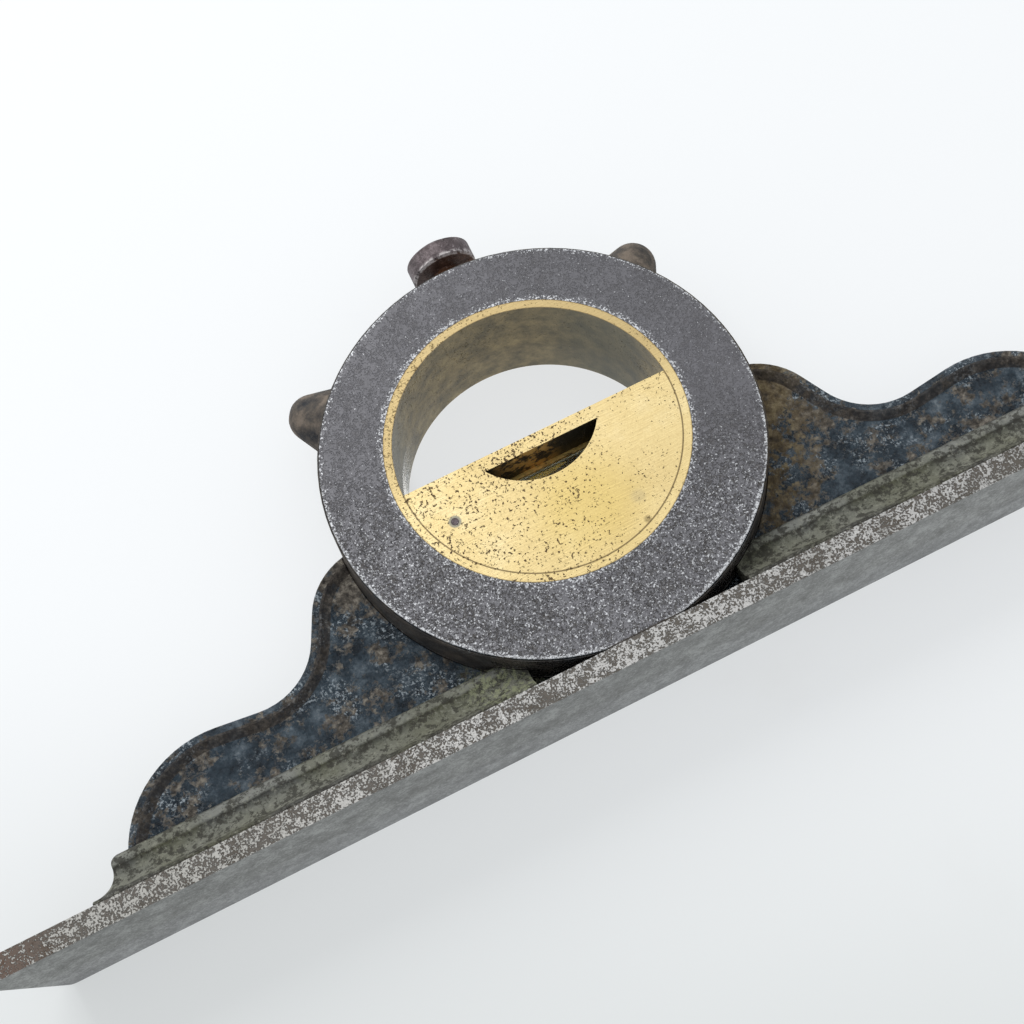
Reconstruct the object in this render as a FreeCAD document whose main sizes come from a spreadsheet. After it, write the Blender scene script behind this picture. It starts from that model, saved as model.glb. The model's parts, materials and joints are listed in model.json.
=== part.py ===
import FreeCAD, Part
import math
import os

import Sketcher

# Adjustable inclinometer level: a cast iron frame with a long sole, two scroll webs on a
# moulded plinth and a heavy ring, and in the ring a brass drum that carries a spirit vial.
# Millimetres. X runs along the sole, Z is up, the sole stands on z = 0 and y = 0 is the
# middle of the frame. The face that is meant to be read is towards -Y.

SIZES = (
    # sole plate
    ("sole_length", 235.0, "front edge of the sole plate"),
    ("sole_width", 22.0, "sole plate from front to back"),
    ("sole_thick", 4.0, "sole plate height"),
    ("end_setback", 9.0, "how much shorter each end is at the back edge"),
    ("end_round", 1.6, "rounding of the upright corners at the back edge"),
    # moulded plinth on the sole plate
    ("plinth_length", 192.8, "plinth from foot to foot, over both returned ends"),
    ("plinth_gap", 38.6, "bare length under the ring, where the plinth stops"),
    ("plinth_ledge", 0.4, "plate edge left bare in front of the plinth"),
    ("bead_rise", 0.7, "height of the small foot bead"),
    ("bead_depth", 0.15, "how far the foot bead steps back"),
    ("bead_radius", 1.0, "radius of the foot bead"),
    ("cove_rise", 4.9, "height of the hollow above the bead"),
    ("cove_depth", 3.9, "how far the hollow steps back"),
    ("cove_radius", 5.0, "radius of the hollow"),
    ("lip_rise", 2.05, "height of the round lip above the hollow"),
    ("lip_depth", 1.5, "how far the lip steps back"),
    ("lip_radius", 2.0, "radius of the lip"),
    # scroll webs
    ("web_thick", 5.0, "panel of a scroll web"),
    ("rim_thick", 6.8, "raised rim along the top of a web"),
    ("rim_width", 1.9, "flat of the rim and its round, across its face"),
    ("seat_sink", 0.2, "how far the foot of the slope runs into the panel"),
    ("rim_outer_round", 1.5, "rounding of the rim's outer edges"),
    ("rim_slope", 1.6, "slope from the rim down to the panel"),
    ("shoulder_place", 35.6, "shoulder centre from the middle of the frame"),
    ("shoulder_height", 29.9, "shoulder centre above the sole"),
    ("shoulder_radius", 12.5, "round shoulder where the web leaves the ring"),
    ("trough_place", 60.2, "hollow centre from the middle of the frame"),
    ("trough_height", 35.7, "hollow centre above the sole"),
    ("trough_radius", 12.2, "hollow between shoulder and crest"),
    ("crest_place", 71.7, "crest centre from the middle of the frame"),
    ("crest_height", 5.4, "crest centre above the sole"),
    ("crest_radius", 19.3, "round crest at the end of the web"),
    # ring of the frame
    ("ring_diameter", 76.2, "outside of the ring"),
    ("ring_width", 22.0, "ring from front to back"),
    ("ring_height", 41.35, "ring centre above the sole"),
    ("ring_edge", 0.4, "small bevel on the ring's outer edges"),
    ("drum_height", 42.95, "drum centre above the sole"),
    # bosses and guide screws
    ("boss_angle", 50.0, "boss to each side of the upright"),
    ("boss_top", 46.1, "top of a boss from the drum centre"),
    ("boss_nose", 4.3, "radius of a boss's round end"),
    ("boss_root", 8.6, "where a boss starts, outside the drum's bore"),
    ("boss_taper", 24.0, "half angle of a boss's side"),
    ("guide_thread", 4.0, "guide screw thread diameter"),
    ("guide_point", 2.9, "diameter of the point in the groove"),
    ("guide_sink", 1.0, "screw end below the top of its boss"),
    ("point_gap", 0.15, "point to the floor of the groove"),
    ("point_length", 2.6, "length of the turned down point"),
    ("driver_slot", 0.8, "width of a screwdriver slot"),
    ("driver_depth", 1.2, "depth of a screwdriver slot"),
    # lock screw and its thrust pad
    ("lock_angle", 2.0, "lock screw right of the upright"),
    ("lock_thread", 4.8, "lock screw thread diameter"),
    ("lock_stand", 42.0, "underside of the head from the drum centre"),
    ("head_diameter", 12.2, "lock screw head"),
    ("head_thick", 3.6, "lock screw head at its rim"),
    ("head_crown", 1.5, "rise of the head's round top"),
    ("head_edge", 0.4, "bevel of the head's lower edge"),
    ("pad_diameter", 3.0, "thrust pad that bears in the groove"),
    ("pad_thick", 1.5, "thrust pad height"),
    ("pad_stem", 1.5, "stem of the pad in the screw's tip"),
    ("stem_length", 2.0, "length of the pad's stem"),
    ("pad_gap", 0.1, "pad to the floor of the groove, slackened"),
    # drum
    ("drum_diameter", 52.4, "bore of the ring that the drum turns in"),
    ("rim_wall", 1.6, "brass wall of the drum"),
    ("groove_width", 3.4, "groove round the drum for the screws"),
    ("groove_depth", 0.7, "depth of that groove"),
    ("run_gap", 0.05, "running clearance on the radius"),
    ("seat_gap", 0.03, "clearance of a seated fit on the radius"),
    # vial block
    ("flat_rise", 0.8, "flat of the block above the drum centre"),
    ("window_top", 1.7, "straight edge of the window below the drum centre"),
    ("window_width", 21.1, "length of that straight edge"),
    ("window_drop", 5.85, "depth of the window's round lower edge"),
    ("slot_length", 20.0, "sight slot in the flat"),
    ("slot_width", 5.0, "sight slot in the flat"),
    ("slot_end", 2.6, "radius of the sight slot's ends"),
    # vial, its sleeve and its ends
    ("vial_drop", 4.6, "vial centre below the drum centre"),
    ("sleeve_diameter", 9.0, "outside of the sleeve"),
    ("sleeve_wall", 0.6, "wall of the sleeve"),
    ("sleeve_inset", 4.7, "sleeve end inside the drum's widest"),
    ("sleeve_window", 25.0, "opening in the sleeve"),
    ("plug_length", 3.6, "brass plug in each end of the sleeve"),
    ("plaster_length", 3.4, "plaster seat inside each plug"),
    ("plaster_socket", 1.6, "how deep the glass sits in its plaster"),
    ("glass_diameter", 7.4, "outside of the vial"),
    ("glass_wall", 0.8, "wall of the vial at its middle"),
    ("glass_end", 1.4, "thickness of each closed end"),
    ("glass_bevel", 0.8, "bevel of the closed ends"),
    ("bubble_length", 9.0, "bubble along the vial"),
    ("bubble_width", 3.6, "bubble across the vial"),
    ("bubble_end", 1.9, "radius of the bubble's ends"),
    ("bubble_depth", 1.2, "bubble below the top of the bore"),
    # pins and screws of the drum
    ("pin_diameter", 1.3, "steel pin through the left plug"),
    ("pin_inset", 2.6, "pin from the end of the sleeve"),
    ("pin_drop", 7.5, "pin below the drum centre"),
    ("pin_past", 5.0, "how far the pin runs past the middle"),
    ("block_screw_angle", 125.0, "block screw from the upright"),
    ("block_screw_place", 6.2, "block screws behind the middle"),
    ("block_screw_thread", 2.0, "block screw thread diameter"),
    ("block_screw_head", 3.4, "block screw head"),
    ("block_screw_length", 7.0, "block screw overall"),
    ("block_screw_sink", 0.1, "block screw head below the drum's surface"),
)

EMBED = 1.0
TAU = 360.0

doc = FreeCAD.newDocument("inclinometer")
sheet = doc.addObject("Spreadsheet::Sheet", "Sizes")


def fill_sheet():
    """Write each size with its name and its meaning on a row of the sheet."""
    for row, (name, value, meaning) in enumerate(SIZES, start=1):
        sheet.set("A%d" % row, name)
        sheet.set("B%d" % row, str(value))
        sheet.setAlias("B%d" % row, name)
        sheet.set("C%d" % row, meaning)
    doc.recompute()


NAMES = sorted((name for name, _, _ in SIZES), key=len, reverse=True)


def bound(formula):
    """Give a formula in size names as an expression on the sheet's cells."""
    words = []
    word = ""
    for mark in str(formula) + " ":
        if mark.isalnum() or mark in "_.":
            word += mark
            continue
        words.append("Sizes." + word if word in NAMES else word)
        words.append(mark)
        word = ""
    return "".join(words).strip()


def value_of(formula):
    """Work a formula out to a number."""
    return float(sheet.evalExpression(bound(formula)))


def bind(thing, field, formula):
    """Tie one property to a formula and give it its first value."""
    thing.setExpression(field, bound(formula))


def new_body(label):
    """Start a sub-part under the name that its file will have."""
    body = doc.addObject("PartDesign::Body", label)
    body.Label = label
    return body


def place(body, angle="0", along="0", across="0", height="drum_height"):
    """Put a sub-part in the frame, turned about Y away from the upright."""
    turn = FreeCAD.Rotation(FreeCAD.Vector(0, 1, 0), value_of(angle))
    spot = FreeCAD.Vector(value_of(along), value_of(across), value_of(height))
    body.Placement = FreeCAD.Placement(spot, turn)
    bind(body, "Placement.Rotation.Angle", angle)
    bind(body, "Placement.Base.x", along)
    bind(body, "Placement.Base.y", across)
    bind(body, "Placement.Base.z", height)


def origin_plane(body, role):
    """Find one of the sub-part's own origin planes."""
    return [item for item in body.Origin.OriginFeatures if item.Role == role][0]


def new_sketch(body, name, role, out="0", up="0", turn="0"):
    """Start a sketch on an origin plane, moved out, up and turned in its plane."""
    sketch = body.newObject("Sketcher::SketchObject", name)
    sketch.AttachmentSupport = [(origin_plane(body, role), "")]
    sketch.MapMode = "FlatFace"
    spot = FreeCAD.Vector(0, value_of(up), value_of(out))
    spin = FreeCAD.Rotation(FreeCAD.Vector(0, 0, 1), value_of(turn))
    sketch.AttachmentOffset = FreeCAD.Placement(spot, spin)
    bind(sketch, "AttachmentOffset.Base.y", up)
    bind(sketch, "AttachmentOffset.Base.z", out)
    bind(sketch, "AttachmentOffset.Rotation.Angle", turn)
    return sketch


def arc_through(start, end, radius, side):
    """Make the arc of this radius from start to end that bulges to one side."""
    middle = (start + end) * 0.5
    chord = end - start
    half = chord.Length * 0.5
    normal = FreeCAD.Vector(-chord.y, chord.x, 0).normalize()
    sagitta = radius - math.sqrt(max(radius * radius - half * half, 0.0))
    return Part.Arc(start, middle + normal * sagitta * side, end)


def hold(sketch, kind, geometry, end, formula):
    """Hold one end of a line or arc at a distance worked out from the sizes."""
    number = value_of(formula)
    index = sketch.addConstraint(Sketcher.Constraint(kind, -1, 1, geometry, end, number))
    bind(sketch, "Constraints[%d]" % index, formula)


def fix_point(sketch, geometry, end, across, up):
    """Hold one end of a line or arc at a place."""
    hold(sketch, "DistanceX", geometry, end, across)
    hold(sketch, "DistanceY", geometry, end, up)


def outline(sketch, corners):
    """Draw a closed outline. A corner is (across, up), or with (radius, side) for an
    arc that runs from it to the next corner and bulges left (1) or right (-1)."""
    first = sketch.GeometryCount
    count = len(corners)
    spots = [FreeCAD.Vector(value_of(c[0]), value_of(c[1]), 0) for c in corners]
    for number, corner in enumerate(corners):
        start = spots[number]
        end = spots[(number + 1) % count]
        if len(corner) == 4:
            edge = arc_through(start, end, value_of(corner[2]), corner[3])
        else:
            edge = Part.LineSegment(start, end)
        sketch.addGeometry(edge, False)
    for number, corner in enumerate(corners):
        this = first + number
        after = first + (number + 1) % count
        sketch.addConstraint(Sketcher.Constraint(
            "Coincident", this, end_near(sketch, this, spots[(number + 1) % count]),
            after, end_near(sketch, after, spots[(number + 1) % count])))
        fix_point(sketch, this, end_near(sketch, this, spots[number]), corner[0], corner[1])
        if len(corner) == 4:
            index = sketch.addConstraint(
                Sketcher.Constraint("Radius", this, value_of(corner[2])))
            bind(sketch, "Constraints[%d]" % index, corner[2])


def end_near(sketch, geometry, spot):
    """Tell which end of an edge, 1 or 2, lies at a spot."""
    ends = [sketch.getPoint(geometry, number) for number in (1, 2)]
    return 1 if (ends[0] - spot).Length <= (ends[1] - spot).Length else 2


def circle(sketch, across, up, radius):
    """Draw a circle held by its centre and radius."""
    centre = FreeCAD.Vector(value_of(across), value_of(up), 0)
    shape = Part.Circle(centre, FreeCAD.Vector(0, 0, 1), value_of(radius))
    geometry = sketch.addGeometry(shape, False)
    fix_point(sketch, geometry, 3, across, up)
    index = sketch.addConstraint(Sketcher.Constraint("Radius", geometry, value_of(radius)))
    bind(sketch, "Constraints[%d]" % index, radius)


def box_outline(sketch, low_across, high_across, low_up, high_up):
    """Draw an upright rectangle between four places."""
    outline(sketch, ((low_across, low_up), (high_across, low_up),
                     (high_across, high_up), (low_across, high_up)))


def pad(body, sketch, length, symmetric=True, reverse=False):
    """Thicken a sketch."""
    feature = body.newObject("PartDesign::Pad", sketch.Name + "_pad")
    feature.Profile = sketch
    feature.SideType = "Symmetric" if symmetric else "One side"
    feature.Reversed = reverse
    bind(feature, "Length", length)
    return feature


def pocket(body, sketch, length, symmetric=True, reverse=False):
    """Cut a sketch out of the sub-part, and make sure that it cuts something."""
    doc.recompute()
    before = body.Shape.Volume
    feature = body.newObject("PartDesign::Pocket", sketch.Name + "_cut")
    feature.Profile = sketch
    feature.SideType = "Symmetric" if symmetric else "One side"
    feature.Reversed = reverse
    bind(feature, "Length", length)
    doc.recompute()
    if not feature.Shape.Volume < before:
        raise RuntimeError(sketch.Name + " cuts nothing")
    return feature


def turned(body, sketch, axis="V_Axis"):
    """Turn a sketch about one of its own axes into a round solid."""
    feature = body.newObject("PartDesign::Revolution", sketch.Name + "_turned")
    feature.Profile = sketch
    feature.ReferenceAxis = (sketch, [axis])
    feature.Angle = TAU
    return feature


def turned_cut(body, sketch, axis="V_Axis"):
    """Turn a sketch about one of its own axes and cut it away."""
    doc.recompute()
    before = body.Shape.Volume
    feature = body.newObject("PartDesign::Groove", sketch.Name + "_cut")
    feature.Profile = sketch
    feature.ReferenceAxis = (sketch, [axis])
    feature.Angle = TAU
    doc.recompute()
    if not feature.Shape.Volume < before:
        raise RuntimeError(sketch.Name + " cuts nothing")
    return feature


def dress(body, kind, base, edges, size_field, formula):
    """Round or bevel chosen edges of the newest feature."""
    feature = body.newObject(kind, base.Name + "_" + kind.split("::")[1].lower())
    feature.Base = (base, ["Edge%d" % number for number in edges])
    bind(feature, size_field, formula)
    return feature


def edges_where(shape, test):
    """Number the edges whose both ends and middle pass a test."""
    found = []
    for number, edge in enumerate(shape.Edges, start=1):
        middle = edge.valueAt((edge.FirstParameter + edge.LastParameter) / 2)
        spots = [vertex.Point for vertex in edge.Vertexes] + [middle]
        if all(test(spot) for spot in spots):
            found.append(number)
    return found


# Sizes that several sub-parts share, as formulas
BORE_RADIUS = "drum_diameter / 2"
DRUM_RADIUS = "(drum_diameter / 2 - run_gap)"
INNER_RADIUS = "(drum_diameter / 2 - rim_wall)"
GROOVE_FLOOR = "(drum_diameter / 2 - run_gap - groove_depth)"
PLINTH_TOP = "(sole_thick + bead_rise + cove_rise + lip_rise)"
GUIDE_END = "(boss_top - guide_sink)"
LOCK_TIP = "(drum_diameter / 2 - run_gap - groove_depth + pad_gap + pad_thick)"
VIAL_HEIGHT = "drum_height - vial_drop"
SLEEVE_INNER = "(sleeve_diameter / 2 - sleeve_wall)"
PIN_PLACE = "(drum_diameter / 2 - sleeve_inset - pin_inset)"
GLASS_HALF = "(drum_diameter / 2 - sleeve_inset - plug_length - plaster_length + plaster_socket)"
BORE_HALF = "(drum_diameter / 2 - sleeve_inset - plug_length - plaster_length + plaster_socket - glass_end)"
BLOCK_SCREW_TOP = "(drum_diameter / 2 - run_gap - block_screw_sink)"


def sole_plate(body):
    """Flat plate, its ends cut back towards the rear edge."""
    sketch = new_sketch(body, "sole", "XY_Plane")
    front = "sole_length / 2"
    rear = "sole_length / 2 - end_setback"
    outline(sketch, (("-(%s)" % front, "-sole_width / 2"), (front, "-sole_width / 2"),
                     (rear, "sole_width / 2"), ("-(%s)" % rear, "sole_width / 2")))
    plate = pad(body, sketch, "sole_thick", symmetric=False)
    doc.recompute()
    back = value_of("sole_width / 2")
    corners = edges_where(plate.Shape, lambda spot: abs(spot.y - back) < 0.01
                          and abs(spot.x) > value_of(rear) - 0.01)
    dress(body, "PartDesign::Fillet", plate, corners, "Radius", "end_round")


def plinth_profile(edge):
    """Corners of the moulding, given where its foot is, from foot to top."""
    foot = "(%s)" % edge
    bead = "(%s - bead_depth)" % foot
    cove = "(%s - bead_depth - cove_depth)" % foot
    lip = "(%s - bead_depth - cove_depth - lip_depth)" % foot
    return [(foot, "sole_thick", "bead_radius", -1),
            (bead, "sole_thick + bead_rise", "cove_radius", 1),
            (cove, "sole_thick + bead_rise + cove_rise", "lip_radius", -1),
            (lip, PLINTH_TOP)]


def mirrored_corners(corners):
    """The same run of corners on the other side of the middle, in reverse order."""
    flipped = []
    for number in range(len(corners) - 1, -1, -1):
        spot = ("-(%s)" % corners[number][0], corners[number][1])
        arc = corners[number - 1][2:] if number > 0 else ()
        flipped.append(spot + tuple(arc[:1]) + tuple(-side for side in arc[1:]))
    return flipped


def plinth(body):
    """Moulded plinth on the plate, its section returned round both ends."""
    section = new_sketch(body, "plinth_section", "YZ_Plane")
    side = plinth_profile("sole_width / 2 - plinth_ledge")
    low = "sole_thick / 2"
    foot = side[0][0]
    right = [(foot, low)] + [step[:2] + flip_side(step) for step in side]
    left = mirrored_corners(right)
    outline(section, right + left)
    pad(body, section, "plinth_length")
    ends = new_sketch(body, "plinth_ends", "XZ_Plane")
    run = plinth_profile("plinth_length / 2")
    over = "(plinth_length / 2 + %s)" % EMBED
    above = "(%s + %s)" % (PLINTH_TOP, EMBED)
    right = [step[:2] + flip_side(step) for step in run]
    right = right + [(run[-1][0], above), (over, above), (over, "sole_thick")]
    outline(ends, right)
    left = mirrored_corners(right)
    outline(ends, left)
    pocket(body, ends, "sole_width + %s" % EMBED)
    gap = new_sketch(body, "plinth_gap_box", "XZ_Plane")
    box_outline(gap, "-plinth_gap / 2", "plinth_gap / 2", "sole_thick", above)
    pocket(body, gap, "sole_width + %s" % EMBED)


def flip_side(step):
    """Radius and side of a step whose run is drawn foot to top on the right."""
    return () if len(step) < 4 else (step[2], -step[3])


def tangent_run(sketch, inset, top_down):
    """Shoulder, trough and crest arcs with the straight lines that touch them,
    moved inwards by an inset. Gives the first and last edge and their free ends."""
    arcs = (("shoulder", 1, 90.0, 30.0), ("trough", -1, 210.0, 275.0),
            ("crest", 1, 97.0, 20.0))
    first = sketch.GeometryCount
    spots = []
    for name, grow, start, end in arcs:
        centre = FreeCAD.Vector(value_of(name + "_place"), value_of(name + "_height"), 0)
        radius = "%s_radius - (%s)" % (name, inset) if grow > 0 else \
            "%s_radius + (%s)" % (name, inset)
        low, high = sorted((start, end))
        base = Part.Circle(centre, FreeCAD.Vector(0, 0, 1), value_of(radius))
        edge = Part.ArcOfCircle(base, math.radians(low), math.radians(high))
        geometry = sketch.addGeometry(edge, False)
        fix_point(sketch, geometry, 3, name + "_place", name + "_height")
        index = sketch.addConstraint(
            Sketcher.Constraint("Radius", geometry, value_of(radius)))
        bind(sketch, "Constraints[%d]" % index, radius)
        begin, finish = (2, 1) if grow > 0 else (1, 2)
        spots.append((geometry, begin, finish))
    for before, after in zip(spots[:-1], spots[1:]):
        start = sketch.getPoint(before[0], before[2])
        end = sketch.getPoint(after[0], after[1])
        line = sketch.addGeometry(Part.LineSegment(start, end), False)
        sketch.addConstraint(Sketcher.Constraint("Tangent", before[0], before[2], line, 1))
        sketch.addConstraint(Sketcher.Constraint("Tangent", line, 2, after[0], after[1]))
    shoulder, crest = spots[0], spots[2]
    hold(sketch, "DistanceX", shoulder[0], shoulder[1], "shoulder_place")
    hold(sketch, "DistanceY", crest[0], crest[2], top_down)
    return first, shoulder[:2], (crest[0], crest[2])


def join_line(sketch, start, end, spot=None):
    """Draw a line from the free end of one edge to another edge's end or to a spot."""
    from_spot = sketch.getPoint(*start)
    to_spot = sketch.getPoint(*end) if end else FreeCAD.Vector(
        value_of(spot[0]), value_of(spot[1]), 0)
    line = sketch.addGeometry(Part.LineSegment(from_spot, to_spot), False)
    sketch.addConstraint(Sketcher.Constraint("Coincident", start[0], start[1], line, 1))
    if end:
        sketch.addConstraint(Sketcher.Constraint("Coincident", line, 2, end[0], end[1]))
    else:
        fix_point(sketch, line, 2, spot[0], spot[1])
    return line, 2


def scroll_webs(body):
    """Two scroll webs, a panel with a raised and rounded rim along its top."""
    panel = new_sketch(body, "web_outline", "XZ_Plane")
    foot = "sole_thick / 2"
    bed = "(%s - %s)" % (PLINTH_TOP, EMBED)
    _, top, toe = tangent_run(panel, "0", bed)
    peak = "shoulder_height + shoulder_radius"
    corner = join_line(panel, top, None, ("0", peak))
    corner = join_line(panel, corner, None, ("0", foot))
    corner = join_line(panel, corner, None, ("crest_place", foot))
    join_line(panel, corner, toe)
    panel_pad = pad(body, panel, "web_thick")
    path = new_sketch(body, "rim_path", "XZ_Plane")
    tangent_run(path, "0", bed)
    rim = body.newObject("PartDesign::AdditivePipe", "rim")
    rim.Profile = rim_section(body)
    rim.Spine = path
    other = body.newObject("PartDesign::Mirrored", "other_web")
    other.Originals = [panel_pad, rim]
    other.MirrorPlane = (origin_plane(body, "YZ_Plane"), [""])
    body.Tip = other


def rim_section(body):
    """Section of the rim, its outer edges rounded and its inner sides sloping."""
    sketch = new_sketch(body, "rim_section", "YZ_Plane", out="shoulder_place")
    top = "(shoulder_height + shoulder_radius)"
    low = "(shoulder_height + shoulder_radius - rim_width)"
    right = [("web_thick / 2 - seat_sink", "%s - rim_slope" % low),
             ("rim_thick / 2", low),
             ("rim_thick / 2", "%s - rim_outer_round" % top, "rim_outer_round", -1),
             ("rim_thick / 2 - rim_outer_round", top)]
    outline(sketch, right + mirrored_corners(right))
    return sketch


def frame_ring(body):
    """Heavy ring that stands in the sole and takes the drum, its edges broken."""
    sketch = new_sketch(body, "ring_section", "YZ_Plane", up="ring_height")
    half = "ring_width / 2"
    radius = "ring_diameter / 2"
    outline(sketch, (
        ("-(%s)" % half, "0"), (half, "0"), (half, "%s - ring_edge" % radius),
        ("%s - ring_edge" % half, radius), ("ring_edge - %s" % half, radius),
        ("-(%s)" % half, "%s - ring_edge" % radius)))
    turned(body, sketch, "H_Axis")


def radial_sketch(body, name, angle, out="0"):
    """Sketch whose upright axis points from the drum centre at an angle."""
    return new_sketch(body, name, "XZ_Plane", out=out, up="drum_height",
                      turn="-(%s)" % angle)


def bosses(body):
    """Two tapered bosses with round ends for the guide screws."""
    root = "(%s + boss_root)" % BORE_RADIUS
    wide = "(boss_nose / cos(boss_taper) + (boss_top - boss_nose - %s)" \
        " * tan(boss_taper))" % root
    for name, angle in (("left", "-boss_angle"), ("right", "boss_angle")):
        sketch = radial_sketch(body, "boss_" + name, angle)
        outline(sketch, (
            ("0", root), (wide, root),
            ("boss_nose * cos(boss_taper)",
             "boss_top - boss_nose + boss_nose * sin(boss_taper)", "boss_nose", -1),
            ("0", "boss_top")))
        turned(body, sketch)


def frame_bores(body):
    """Bore for the drum and the tapped holes for the three screws."""
    sketch = new_sketch(body, "drum_bore", "XZ_Plane")
    circle(sketch, "0", "drum_height", BORE_RADIUS)
    pocket(body, sketch, "ring_width + %s" % EMBED)
    inside = "(%s - %s)" % (BORE_RADIUS, EMBED)
    outside = "(boss_top + %s)" % EMBED
    holes = (("guide_hole_left", "-boss_angle", "guide_thread / 2 + run_gap"),
             ("guide_hole_right", "boss_angle", "guide_thread / 2 + run_gap"),
             ("lock_hole", "lock_angle", "lock_thread / 2 + run_gap"))
    for name, angle, radius in holes:
        sketch = radial_sketch(body, name, angle)
        box_outline(sketch, "0", radius, inside, outside)
        turned_cut(body, sketch)


def frame_casting():
    """The frame, one casting."""
    body = new_body("frame_casting")
    sole_plate(body)
    plinth(body)
    scroll_webs(body)
    frame_ring(body)
    bosses(body)
    frame_bores(body)


def driver_slot(body, name, top, width, depth):
    """Screwdriver slot across the outer end of a screw."""
    sketch = new_sketch(body, name, "XZ_Plane")
    box_outline(sketch, "-(%s) / 2" % width, "(%s) / 2" % width,
                "%s - %s" % (top, depth), "%s + %s" % (top, EMBED))
    pocket(body, sketch, "2 * guide_thread")


def guide_screw(side, angle):
    """Headless screw whose point runs in the drum's groove and keeps the drum in."""
    body = new_body("guide_screw_" + side)
    sketch = new_sketch(body, "guide_%s_profile" % side, "XZ_Plane")
    tip = "(%s + point_gap)" % GROOVE_FLOOR
    neck = "(%s + point_length)" % tip
    outline(sketch, (("0", tip), ("guide_point / 2", tip), ("guide_point / 2", neck),
                     ("guide_thread / 2", neck), ("guide_thread / 2", GUIDE_END),
                     ("0", GUIDE_END)))
    turned(body, sketch)
    driver_slot(body, "guide_%s_slot" % side, GUIDE_END, "driver_slot", "driver_depth")
    place(body, angle)


def lock_screw():
    """Thumb screw with a round button head, bored at its tip for the thrust pad."""
    body = new_body("lock_screw")
    sketch = new_sketch(body, "lock_profile", "XZ_Plane")
    stem = "(pad_stem / 2 + run_gap)"
    socket = "(%s + stem_length + run_gap)" % LOCK_TIP
    rim = "(head_diameter / 2)"
    brow = "(lock_stand + head_thick)"
    outline(sketch, (
        (stem, LOCK_TIP), ("lock_thread / 2", LOCK_TIP), ("lock_thread / 2", "lock_stand"),
        ("%s - head_edge" % rim, "lock_stand"),
        (rim, "lock_stand + head_edge"), (rim, brow),
        ("0.8 * %s" % rim, "%s + 0.52 * head_crown" % brow),
        ("0.45 * %s" % rim, "%s + 0.88 * head_crown" % brow),
        ("0", "%s + head_crown" % brow), ("0", socket), (stem, socket)))
    turned(body, sketch)
    place(body, "lock_angle")


def thrust_pad():
    """Brass pad that hangs in the screw's tip and bears in the drum's groove."""
    body = new_body("thrust_pad")
    sketch = new_sketch(body, "pad_profile", "XZ_Plane")
    low = "(%s - pad_thick)" % LOCK_TIP
    high = "(%s - run_gap)" % LOCK_TIP
    outline(sketch, (("0", low), ("pad_diameter / 2", low), ("pad_diameter / 2", high),
                     ("pad_stem / 2", high), ("pad_stem / 2", "%s + stem_length" % high),
                     ("0", "%s + stem_length" % high)))
    turned(body, sketch)
    place(body, "lock_angle")


def block_screw_profile(sketch, gap):
    """Countersunk screw drawn from its axis outwards, made larger by a gap."""
    head = "(block_screw_head / 2 + %s)" % gap
    shank = "(block_screw_thread / 2 + %s)" % gap
    top = BLOCK_SCREW_TOP
    cone = "(%s - (block_screw_head - block_screw_thread) / 2)" % top
    low = "(%s - block_screw_length - %s)" % (top, gap)
    outline(sketch, (("0", low), (shank, low), (shank, cone), (head, top),
                     (head, "%s + 5 * %s" % (top, gap)), ("0", "%s + 5 * %s" % (top, gap))))


def block_screw(side, angle):
    """Small countersunk screw through the drum's wall into the vial block."""
    body = new_body("block_screw_" + side)
    sketch = new_sketch(body, "block_screw_%s_profile" % side, "XZ_Plane")
    head = "(block_screw_head / 2)"
    shank = "(block_screw_thread / 2)"
    cone = "(%s - (block_screw_head - block_screw_thread) / 2)" % BLOCK_SCREW_TOP
    low = "(%s - block_screw_length)" % BLOCK_SCREW_TOP
    outline(sketch, (("0", low), (shank, low), (shank, cone), (head, BLOCK_SCREW_TOP),
                     ("0", BLOCK_SCREW_TOP)))
    turned(body, sketch)
    driver_slot(body, "block_screw_%s_slot" % side, BLOCK_SCREW_TOP, "driver_slot / 2",
                "driver_depth / 3")
    place(body, angle, across="block_screw_place")


def block_screw_holes(body, name):
    """Countersunk holes for the two block screws."""
    for side, angle in (("left", "-block_screw_angle"), ("right", "block_screw_angle")):
        sketch = new_sketch(body, "%s_hole_%s" % (name, side), "XZ_Plane",
                            out="-block_screw_place", turn="-(%s)" % angle)
        block_screw_profile(sketch, "seat_gap")
        turned_cut(body, sketch)


def drum_ring():
    """Brass ring that turns in the frame, grooved for the points of the screws."""
    body = new_body("drum_ring")
    sketch = new_sketch(body, "drum_profile", "XY_Plane")
    half = "ring_width / 2"
    notch = "groove_width / 2"
    outline(sketch, (
        (INNER_RADIUS, "-(%s)" % half), (DRUM_RADIUS, "-(%s)" % half),
        (DRUM_RADIUS, "-(%s)" % notch), (GROOVE_FLOOR, "-(%s)" % notch),
        (GROOVE_FLOOR, notch), (DRUM_RADIUS, notch),
        (DRUM_RADIUS, half), (INNER_RADIUS, half)))
    turned(body, sketch)
    block_screw_holes(body, "drum")
    place(body)


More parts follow.
